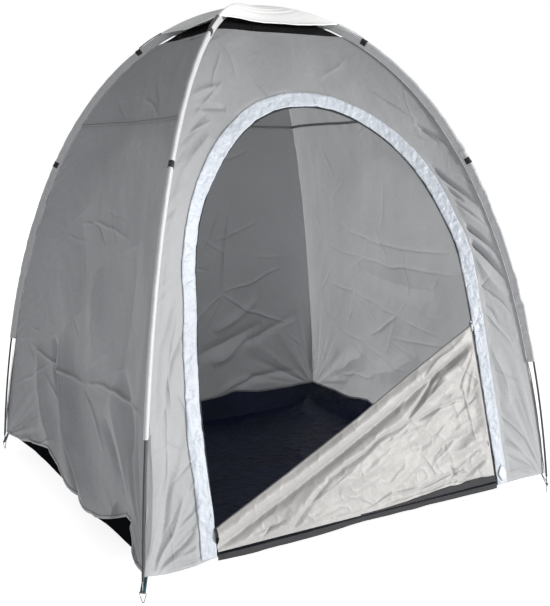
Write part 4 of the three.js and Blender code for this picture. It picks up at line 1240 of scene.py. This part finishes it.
TUB_CORNER_LIFT = 0.052  # the pull of the pole feet lifts the four corners of the floor


TUB_RIM = 0.86  # the share of the sheet, from its middle out, that lies on the ground


def tub_grid(count):
    """The square's grid, closer set in the rim than on the floor."""
    far = np.abs(np.linspace(-1, 1, count))
    spaced = np.where(far < 0.82, far * TUB_RIM / 0.82, lerp(TUB_RIM, 1, (far - 0.82) / 0.18))
    return square(np.sign(np.linspace(-1, 1, count)) * spaced)


def tub_floor(x, y, rho, diagonal):
    """The crumpled floor, pulled up at its corners by the pole feet."""
    inner = clamp01(rho / TUB_RIM)
    flat_x, flat_y = x / rho * TUB_HALF * inner, y / rho * TUB_HALF * inner
    rub = creased(flat_x / 0.20, flat_y / 0.17, 121) ** 4
    rub = rub + 0.7 * creased(flat_x / 0.07 + 3, flat_y / 0.08, 122) ** 4
    fold_noise = clamp01(layered(flat_x / 0.24, flat_y / 0.30, 125) - 0.25)
    waves = (0.0045 * rub + 0.014 * fold_noise) * smooth(0.0, 0.15, 1 - inner + 0.02)
    pulled_up = TUB_CORNER_LIFT * diagonal**7 * smooth(0.62, TUB_RIM, rho)
    return np.stack([flat_x, flat_y, 0.0016 + pulled_up + waves], -1)


def tub_rim(side, start, along, rho):
    """Carries the points start, at the share along of a side, up to the hem of that side's wall."""
    rim_z = hem_height(side, along * HEM_HALF) + 0.006
    rim = wall_point(side, along * (wall_half(rim_z) - 0.003), rim_z, -0.0025)
    share = clamp01((rho - TUB_RIM) / 0.14)
    if side == "front":
        start[:, 2] += smooth(0.70, TUB_RIM, rho) * (1 - np.abs(along) ** 4) * 0.040
    sag = 0.006 * np.sin(math.pi * share) * layered(along / 0.12, share, 131 + list(TURNS).index(side))
    outward = np.array([math.sin(TURNS[side]), -math.cos(TURNS[side]), 0.0])
    return lerp(start, rim, share[:, None]) + outward[None, :] * sag[:, None]


def tub_points(count):
    x, y, rho, diagonal = tub_grid(count)
    points = tub_floor(x, y, rho, diagonal)
    which = side_of(x, y)
    for index, side in enumerate(TURNS):
        chosen = (which == index) & (rho > 0.70)
        c, s = math.cos(TURNS[side]), math.sin(TURNS[side])
        along = (c * x + s * y)[chosen] / rho[chosen]
        points[chosen] = tub_rim(side, points[chosen].copy(), along, rho[chosen])
    return points


def groundsheet():
    points = tub_points(300)
    piece = grid_object("groundsheet_cloth", points, TUB_IN, points[..., :2].copy())
    thicken(piece, COATED_THICK, -1.0, TUB_OUT)
    return place(piece, "tent", "floor_sheet", "groundsheet")


floor_sheet = groundsheet()


# ---- roof ----
def roof_mesh():
    a, b, rho, diagonal = square(np.linspace(-1, 1, 90))
    roof_r = np.interp(WALL_TOP_Z + 0.002, RIDGE_Z, RIDGE_R)
    z = np.interp(-roof_r * rho, -RIDGE_R, RIDGE_Z) - POLE_CROSS_SHIFT
    half = roof_r / math.sqrt(2) * rho - 0.0005 * rho - 0.012 * rho**6 * (1 - diagonal * diagonal)
    z = z + 0.004 * layered(a * 3, b * 3, 141) * (1 - rho**4)
    points = np.stack([a / rho * half, b / rho * half, z], -1)
    piece = grid_object("roof_netting", points, NET, np.stack([a, b], -1) * 0.34)
    return place(piece, "tent", "netting", "roof_mesh")


roof_net = roof_mesh()


def cap_surface(count):
    """The cap before it settles: high over the poles, slack between them."""
    a, b, far, diagonal = square(np.linspace(-1, 1, count) * CAP_HALF)
    height = np.interp(-far * math.sqrt(2), -ARC_R, ARC_Z) + CAP_OVER_POLE
    slack = 0.016 * (1 - diagonal**1.5) * clamp01(far / 0.25)
    ripple = 0.003 * layered(a / 0.11, b / 0.11, 151) * (1 - diagonal**6)
    return np.stack([a, b, height - slack + ripple], -1)


def settle(piece, pinned, frames, slack):
    """Hangs a sheet under its own weight from the points whose pin weight is given, and applies it."""
    group = piece.vertex_groups.new(name="pins")
    for index, weight in enumerate(pinned):
        if weight > 0:
            group.add([index], float(weight), "REPLACE")
    modifier = piece.modifiers.new("cloth", "CLOTH")
    settings = modifier.settings
    settings.vertex_group_mass = "pins"
    settings.quality = 6
    settings.mass = 0.1
    settings.tension_stiffness = 15
    settings.compression_stiffness = 15
    settings.bending_stiffness = 6.0
    settings.shrink_min = -slack
    modifier.collision_settings.use_collision = False
    scene = bpy.context.scene
    modifier.point_cache.frame_end = frames
    for number in range(1, frames + 1):
        scene.frame_set(number)
    settled = bpy.data.meshes.new_from_object(piece.evaluated_get(bpy.context.evaluated_depsgraph_get()))
    old = piece.data
    piece.modifiers.clear()
    piece.vertex_groups.clear()
    piece.data = settled
    bpy.data.meshes.remove(old)
    scene.frame_set(1)
    piece.data.shade_smooth()


CAP_GRID = 91


def roof_cap():
    points = cap_surface(CAP_GRID)
    a, b = points[..., 0], points[..., 1]
    piece = grid_object("roof_cap_cloth", points, CAP, np.stack([a, b], -1))
    off_pole = np.abs(np.abs(a) - np.abs(b))
    off_rim = CAP_HALF - np.maximum(np.abs(a), np.abs(b))
    pins = np.where(off_pole < 0.010, 1.0, np.where(off_rim < 0.012, 0.35, 0.0))
    settle(piece, pins.ravel(), 20, 0.001)
    thicken(piece, CAP_THICK)
    return place(piece, "roof_cap", "cap_cloth", "roof_cap")


cap = roof_cap()


def cap_edge():
    """The cap's turned hem: a narrow band that follows its four edges underneath."""
    co = np.array([v.co for v in cap.data.vertices]).reshape(CAP_GRID, CAP_GRID, 3)
    rim = np.concatenate([co[:-1, 0], co[-1, :-1], co[:0:-1, -1], co[0, :0:-1]])
    inner = np.concatenate([co[:-1, 2], co[-3, :-1], co[:0:-1, -3], co[2, :0:-1]])
    closed_rim, closed_inner = (np.concatenate([line, line[:1]]) for line in (rim, inner))
    down = np.array([0, 0, -0.0018])
    t = np.linspace(0, 1, 4)[None, :, None]
    points = lerp(closed_rim[:, None], closed_inner[:, None], t) + down
    piece = thicken(grid_object("cap_hem_band", points, CAP), COATED_THICK)
    place(piece, "roof_cap", "cap_cloth", "cap_hem")
    middle = lerp(closed_rim, closed_inner, 0.7) + np.array([0, 0, 0.0007])
    up = np.broadcast_to(np.array([0.0, 0.0, 1.0]), middle.shape)
    stitches("stitching_cap", [(middle, up)], "roof_cap", THREAD_PALE)
    return piece


cap_band = cap_edge()


# ---- sleeves, facings, tabs and straps ----
# Each sleeve's tone is painted light or shade for the way it faces; the second number is its gather.
SLEEVE_LOOKS = {
    "front_left": (SLEEVE_PAINTED_LIGHT, 0.0014), "front_right": (SLEEVE_PAINTED_HALF_LIGHT, 0.0046),
    "back_right": (SLEEVE_PAINTED_SHADE, 0.0022), "back_left": (SLEEVE_PAINTED_SHADE, 0.0018),
}
SLEEVE_SLIP = {"front_left": 0.045}  # how far a sleeve has slid down its pole


def sleeve_foot(corner):
    return length_at_height(SLEEVE_END_Z) - SLEEVE_SLIP.get(corner, 0.0)


SLEEVE_WRAP = 0.60  # share of a sleeve's outline that goes round the pole


def sleeve_outline(corner, s, k, gather):
    """How far a sleeve's cloth stands out from the pole's centre, and across it; k runs -1..1 round it."""
    seed = 200 + list(CORNERS).index(corner) * 7
    angle = np.clip(k / SLEEVE_WRAP, -1, 1) * WRAP_ANGLE
    radius = (SLEEVE_R + 0.0004) * (1 + 0.10 * noise(s / 0.035, k * 1.3, seed))
    t = clamp01((np.abs(k) - SLEEVE_WRAP) / (1 - SLEEVE_WRAP))
    n_tail = lerp(radius * np.cos(angle), seam_line_depth(s), t)
    b_tail = lerp(np.abs(radius * np.sin(angle)), 0.0010, t**0.7) * np.sign(k)
    free = 1 - sum(np.exp(-(((s - length_at_height(z)) / 0.035) ** 2)) for z in TAB_Z.values())
    bunch = clamp01(0.35 + noise(s / 0.22, 1.0, seed + 2)) * free
    wave = gather * bunch * noise(s / 0.020, 0.5, seed + 3) * np.sin(math.pi * clamp01(t + 0.15))
    belly = gather * 1.6 * bunch * noise(s / 0.045, k * 0.8, seed + 4)
    return n_tail + belly * (1 - t) * 0.5, b_tail + wave + belly * t * (1 - t)


def seam_line_depth(s):
    """Where the sleeve's flat tail meets the ridge seam, inside the pole."""
    return -seam_offset(s) + 0.0008


def sleeve(corner):
    """Cloth wrapped round the pole and sewn flat behind it, gathered along the seam."""
    material, gather = SLEEVE_LOOKS[corner]
    s = np.linspace(sleeve_foot(corner), length_at_radius(SLEEVE_TOP_R), 420)[:, None]
    k = np.linspace(-1, 1, 33)[None, :]
    points = ridge_point(corner, s + 0 * k, *sleeve_outline(corner, s, k, gather))
    name = "pole_sleeve_" + corner
    uv = np.stack([np.sign(k) * (np.abs(k) * 0.04 + 0 * s), s + 0 * k], -1)
    piece = grid_object("cloth_" + name, points, material, uv)
    thicken(piece, SLEEVE_THICK)
    place(piece, "tent", "sleeve_cloth", name)
    rows_of_thread = []
    for sign in (1, -1):
        line = ridge_point(corner, s[:, 0], seam_line_depth(s[:, 0]) + 0.005, sign * 0.0022 + 0 * s[:, 0])
        rows_of_thread.append((line, np.broadcast_to(sign * corner_frame(corner)[1], line.shape)))
    stitches("stitching_sleeve_" + corner, rows_of_thread, "tent", THREAD_PALE)


def facing(corner):
    """The strip that covers the ridge seam below the sleeve, where the pole runs free. Its tone, darker than
    the walls', is painted shadow of the pole.
    """
    s = np.linspace(length_at_height(HEM_Z - 0.004), sleeve_foot(corner) + 0.012, 130)[:, None]
    t = np.linspace(0, 1, 10)[None, :]
    inside = seam_offset(s)
    width = 0.020 * smooth(-0.01, 0.16, s - s[0]) * (1 - 0.75 * smooth(0.30, 0.50, s - s[0])) + 0.004
    b = lerp(-0.003, 1, t) * width
    n = -inside + 0.0045 - 0.45 * b + 0.0015 * noise(s / 0.06, t * 2, 301)
    points = ridge_point(corner, s + 0 * t, n, b + 0.001 * noise(s / 0.09, t, 302))
    piece = thicken(grid_object("corner_facing_" + corner, points, SHELL_PAINTED_SHADOW), BAND_THICK)
    place(piece, "tent", "shell_cloth")


def webbing_tab(corner, level):
    """A short loop of webbing round the sleeve."""
    middle = length_at_height(TAB_Z[level])
    s = np.linspace(-0.5, 0.5, 15)[:, None] * TAB_LENGTH + middle
    k = np.linspace(-1, 1, 33)[None, :]
    angle = np.clip(k / 0.72, -1, 1) * WRAP_ANGLE
    radius = SLEEVE_R + 0.0021
    t = clamp01((np.abs(k) - 0.72) / 0.28)
    n = lerp(radius * np.cos(angle), -0.0158, t)
    b = lerp(np.abs(radius * np.sin(angle)), 0.0060, t) * np.sign(k)
    skew = 0.0012 * noise(s / 0.02, k, 311)
    points = ridge_point(corner, s + 0 * k, n + skew, b)
    name = "webbing_tab_" + level + "_" + corner
    piece = grid_object("loop_" + name, points, BLACK_TAPE, np.stack([k * 0.026 + 0 * s, s + 0 * k], -1))
    thicken(piece, WEBBING_THICK)
    place(piece, "tent", "black_webbing", name)


def cap_strap(corner):
    """The webbing strap from a corner of the cap to the sleeve's upper tab."""
    start = length_at_radius(CAP_HALF * math.sqrt(2) - 0.008)
    end = length_at_height(TAB_Z["upper"]) + TAB_LENGTH * 0.45
    s = np.linspace(start, end, 40)[:, None]
    k = np.linspace(-1, 1, 7)[None, :]
    n = 0.0128 + 0.0008 * np.sin(math.pi * (s - start) / (end - start)) + 0.0002 * noise(s / 0.01, k, 321)
    points = ridge_point(corner, s + 0 * k, n, 0.007 * k + 0.0015 * np.sin(s / 0.03))
    name = "cap_strap_" + corner
    piece = grid_object("webbing_" + name, points, BLACK_TAPE, np.stack([0.007 * k + 0 * s, s + 0 * k], -1))
    thicken(piece, STRAP_THICK)
    place(piece, "roof_cap", "black_webbing", name)


for corner_name in CORNERS:
    sleeve(corner_name)
    facing(corner_name)
    for tab_level in TAB_Z:
        webbing_tab(corner_name, tab_level)
    cap_strap(corner_name)


# ---- poles ----
def pole_path(ends, stations):
    """Centre line and level vectors of a pole at lengths from its first end over the crossing."""
    points, levels = [], []
    for s in stations:
        first = s <= ARC_LENGTH
        corner = ends[0] if first else ends[1]
        at = np.array(s if first else 2 * ARC_LENGTH - s)
        level = corner_frame(corner)[1]
        points.append(ridge_point(corner, at, 0.0, 0.0))
        levels.append(level if first else -level)
    return np.array(points), np.array(levels)


def pole_section(pole, number):
    length = 2 * ARC_LENGTH / POLE_SECTIONS
    start = number * length + (0.0002 if number else 0)
    end = (number + 1) * length - (0.0002 if number < POLE_SECTIONS - 1 else 0)
    edge = [0.0, 0.0004, 0.0012]
    stations = [start + e for e in edge]
    stations += list(np.linspace(start + 0.012, end - 0.012, 74))
    stations += [end - e for e in edge[::-1]]
    radii = [POLE_R * 0.88, POLE_R * 0.97] + [POLE_R] * (len(stations) - 4) + [POLE_R * 0.97, POLE_R * 0.88]
    path, level = pole_path(POLES[pole], stations)
    name = "pole_" + pole + "_section_" + str(number + 1)
    piece = tube("rod_" + name, path, level, np.array(radii), FIBREGLASS, 20)
    return place(piece, "tent", "fibreglass", name)


for pole_name in POLES:
    for section in range(POLE_SECTIONS):
        pole_section(pole_name, section)


# ---- corner hardware ----
FOOT_R = ARC_RADII[0]
FOOT_TANGENT = ARC_TANGENT[0]
BAR = (FOOT_R - FOOT_TANGENT[0] * PIN_DROP, FOOT_Z - FOOT_TANGENT[1] * PIN_DROP)
UP = np.array([0.0, 0.0, 1.0])
WEBBING_R = 0.0039  # of the loop round the bar


def corner_pin(corner):
    """The steel pin in the pole's foot, with the eye that holds the ring."""
    out, level = corner_frame(corner)
    s = np.array([-PIN_DROP + 0.0046, -0.030, -0.004, -0.0032, 0.0, 0.034, 0.036])
    radius = np.array([0.0020, 0.00275, 0.00275, 0.0040, 0.0040, 0.00275, 0.0022])
    path = out * (FOOT_R + FOOT_TANGENT[0] * s)[:, None] + UP * (FOOT_Z + FOOT_TANGENT[1] * s)[:, None]
    rod = tube("pin_" + corner, path, level, radius, STEEL, 20)
    place(rod, "tent", "steel", "corner_pin_" + corner)
    turn = np.arange(28) / 28 * 2 * math.pi
    ring = out * (BAR[0] + 0.0044 * np.cos(turn))[:, None] + UP * (BAR[1] + 0.0044 * np.sin(turn))[:, None]
    eye = tube("pin_eye_" + corner, ring, level, 0.0015, STEEL, 12, closed=True)
    place(eye, "tent", "steel")


def corner_ring(corner):
    """A three-sided ring of round wire that hangs in the pin's eye, its point down."""
    out, level = corner_frame(corner)
    points = []

    def bend(b, z, r, start, stop, count):
        for angle in np.radians(np.linspace(start, stop, count)):
            at = out * BAR[0] + UP * (z + r * math.sin(angle)) + level * (b + r * math.cos(angle))
            points.append(at)

    bend(0.010, BAR[1] - 0.0035, 0.0035, 90, -22, 9)
    bend(0.0, 0.0076, 0.0042, -22, -158, 11)
    bend(-0.010, BAR[1] - 0.0035, 0.0035, 202, 90, 9)
    piece = tube("ring_" + corner, points, out, 0.0020, STEEL, 14, closed=True)
    place(piece, "ring_" + corner, "steel", "corner_ring_" + corner)


def webbing_line():
    """The webbing's run, seen along the ring's bar: down from the hem's corner, round the bar and back."""
    lean = math.atan2(0.090 - BAR[1], -0.026)
    way = lean - math.pi / 2
    around = lean + math.pi / 2 + np.linspace(0, 1, 13) * math.pi
    loop = np.stack([BAR[0] + WEBBING_R * np.cos(around), BAR[1] + WEBBING_R * np.sin(around)], -1)
    far = np.linspace(0.062, 0.010, 12)
    legs = []
    for lift, distances in ((-1, far), (1, far[::-1])):
        spread = 0.0014 + 0.0022 * smooth(0.05, 0.01, distances)
        legs.append(np.stack([
            BAR[0] + distances * math.cos(lean) + lift * spread * math.cos(way),
            BAR[1] + distances * math.sin(lean) + lift * spread * math.sin(way),
        ], -1))
    return np.concatenate([legs[0], loop, legs[1]])


def corner_webbing(corner):
    """The webbing loop from the hem's corner round the ring's bar."""
    out, level = corner_frame(corner)
    line = webbing_line()
    width = np.linspace(-0.0095, 0.0095, 9)
    points = out * line[:, None, :1] + UP * line[:, None, 1:] + level * width[None, :, None]
    uv = np.stack(np.broadcast_arrays(width[None, :], lengths(line)[:, None]), -1)
    piece = thicken(grid_object("webbing_corner_" + corner, points, TEAL_TAPE, uv), WEBBING_THICK)
    place(piece, "tent", "corner_webbing", "corner_webbing_" + corner)


for corner_name in CORNERS:
    corner_pin(corner_name)
    corner_ring(corner_name)
    corner_webbing(corner_name)


# ---- zip slider and pulls ----
CAST_EDGE = 0.00025


def rounded(node):
    """The CAD node's shape with its edges rounded off."""
    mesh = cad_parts[node].data.copy()
    mesh.materials.clear()
    mesh.materials.append(ZINC)
    piece = bpy.data.objects.new("cast_" + node, mesh)
    bpy.context.scene.collection.objects.link(piece)
    weld = piece.modifiers.new("weld", "WELD")
    weld.merge_threshold = 0.00002
    bevel = piece.modifiers.new("edges", "BEVEL")
    bevel.width = CAST_EDGE
    bevel.segments = 2
    bevel.limit_method = "ANGLE"
    bevel.angle_limit = math.radians(40)
    return place(piece, node, "zinc", node)


for cast_node in ("zip_slider", "zip_pull_outer", "zip_pull_inner"):
    rounded(cast_node)


# ---- floor, light, camera ----
FLOOR_HALF, FLOOR_DROP = 40.0, 0.0005
DOME_R = 36.0
FLOOR_GLOW = 0.82  # the floor is a lit white table, so that the shadow on it stays pale
SKY_LOW, SKY_HIGH = 0.24, 0.24  # the studio's soft light, at the horizon and overhead


def studio_floor():
    material, tree, _, spot = new_material("studio floor")
    tone = ramp(tree, speckle(tree, spot, 3.0, 4.0), [(0.3, 0.86), (0.7, 0.88)])
    surface = add_node(tree, "ShaderNodeBsdfPrincipled", {
        "Base Color": tone, "Roughness": 0.9, "Emission Color": (1, 1, 1, 1), "Emission Strength": FLOOR_GLOW,
    }).outputs[0]
    finished(material, tree, surface)
    corners = FLOOR_HALF * np.array([[-1, -1, 0], [1, -1, 0], [1, 1, 0], [-1, 1, 0]], float)
    floor = object_of("studio_floor", corners, np.array([[0, 1, 2, 3]]), material)
    floor.location.z = -FLOOR_DROP
    return floor


def backdrop():
    """A white dome far behind everything. It shows to the camera and lights nothing."""
    material, tree, _, _ = new_material("white backdrop")
    glow = add_node(tree, "ShaderNodeEmission", {"Color": (1, 1, 1, 1), "Strength": 1.0}).outputs[0]
    finished(material, tree, glow)
    bpy.ops.mesh.primitive_uv_sphere_add(segments=48, ring_count=24, radius=DOME_R)
    dome = bpy.context.object
    dome.name = "studio_backdrop"
    dome.data.materials.append(material)
    for kind in ("diffuse", "glossy", "transmission", "volume_scatter", "shadow"):
        setattr(dome, "visible_" + kind, False)
    return dome


def soft_sky():
    """Soft light from all round."""
    world = bpy.data.worlds.new("studio")
    bpy.context.scene.world = world
    world.use_nodes = True
    tree = world.node_tree
    way = add_node(tree, "ShaderNodeTexCoord")
    split = add_node(tree, "ShaderNodeSeparateXYZ", {0: way.outputs["Generated"]})
    strength = spread(tree, split.outputs["Z"], SKY_LOW, SKY_HIGH)
    tree.links.new(strength, tree.nodes["Background"].inputs["Strength"])
    tree.nodes["Background"].inputs["Color"].default_value = (1.0, 1.0, 1.0, 1)


def lamp(name, energy, angle, toward, colour):
    """A far lamp behind a diffuser, seen from the tent in the direction toward."""
    light = bpy.data.objects.new(name, bpy.data.lights.new(name, "SUN"))
    light.data.energy = energy
    light.data.angle = math.radians(angle)
    light.data.color = colour
    bpy.context.scene.collection.objects.link(light)
    light.rotation_euler = Vector(toward).to_track_quat("Z", "Y").to_euler()


def studio():
    studio_floor()
    backdrop()
    soft_sky()
    lamp("key", 4.6, 8, (0.66, -0.68, 0.12), (1.0, 0.985, 0.96))
    lamp("side", 0.55, 6, (-0.74, -0.60, 0.34), (1.0, 1.0, 1.0))


# the camera that took the photograph: its place, where it turns and tips, and its lens
CAMERA_AT = (-2.0612, -3.7803, 1.5498)
CAMERA_YAW, CAMERA_PITCH, CAMERA_ROLL = (math.radians(a) for a in (30.124, -9.229, -0.630))
LENS, SENSOR_WIDTH = 52.75, 36


def camera():
    flat = math.cos(CAMERA_PITCH)
    look = Vector((math.sin(CAMERA_YAW) * flat, math.cos(CAMERA_YAW) * flat, math.sin(CAMERA_PITCH)))
    right = Vector((math.cos(CAMERA_YAW), -math.sin(CAMERA_YAW), 0))
    up = right.cross(look)
    level = right * math.cos(CAMERA_ROLL) + up * math.sin(CAMERA_ROLL)
    above = up * math.cos(CAMERA_ROLL) - right * math.sin(CAMERA_ROLL)
    made = bpy.data.objects.new("camera", bpy.data.cameras.new("camera"))
    made.data.lens = LENS
    made.data.sensor_width = SENSOR_WIDTH
    bpy.context.scene.collection.objects.link(made)
    rows = [(level[k], above[k], -look[k], CAMERA_AT[k]) for k in range(3)]
    made.matrix_world = Matrix((*rows, (0, 0, 0, 1)))
    bpy.context.scene.camera = made


studio()
camera()
bpy.context.scene.view_settings.view_transform = "Standard"
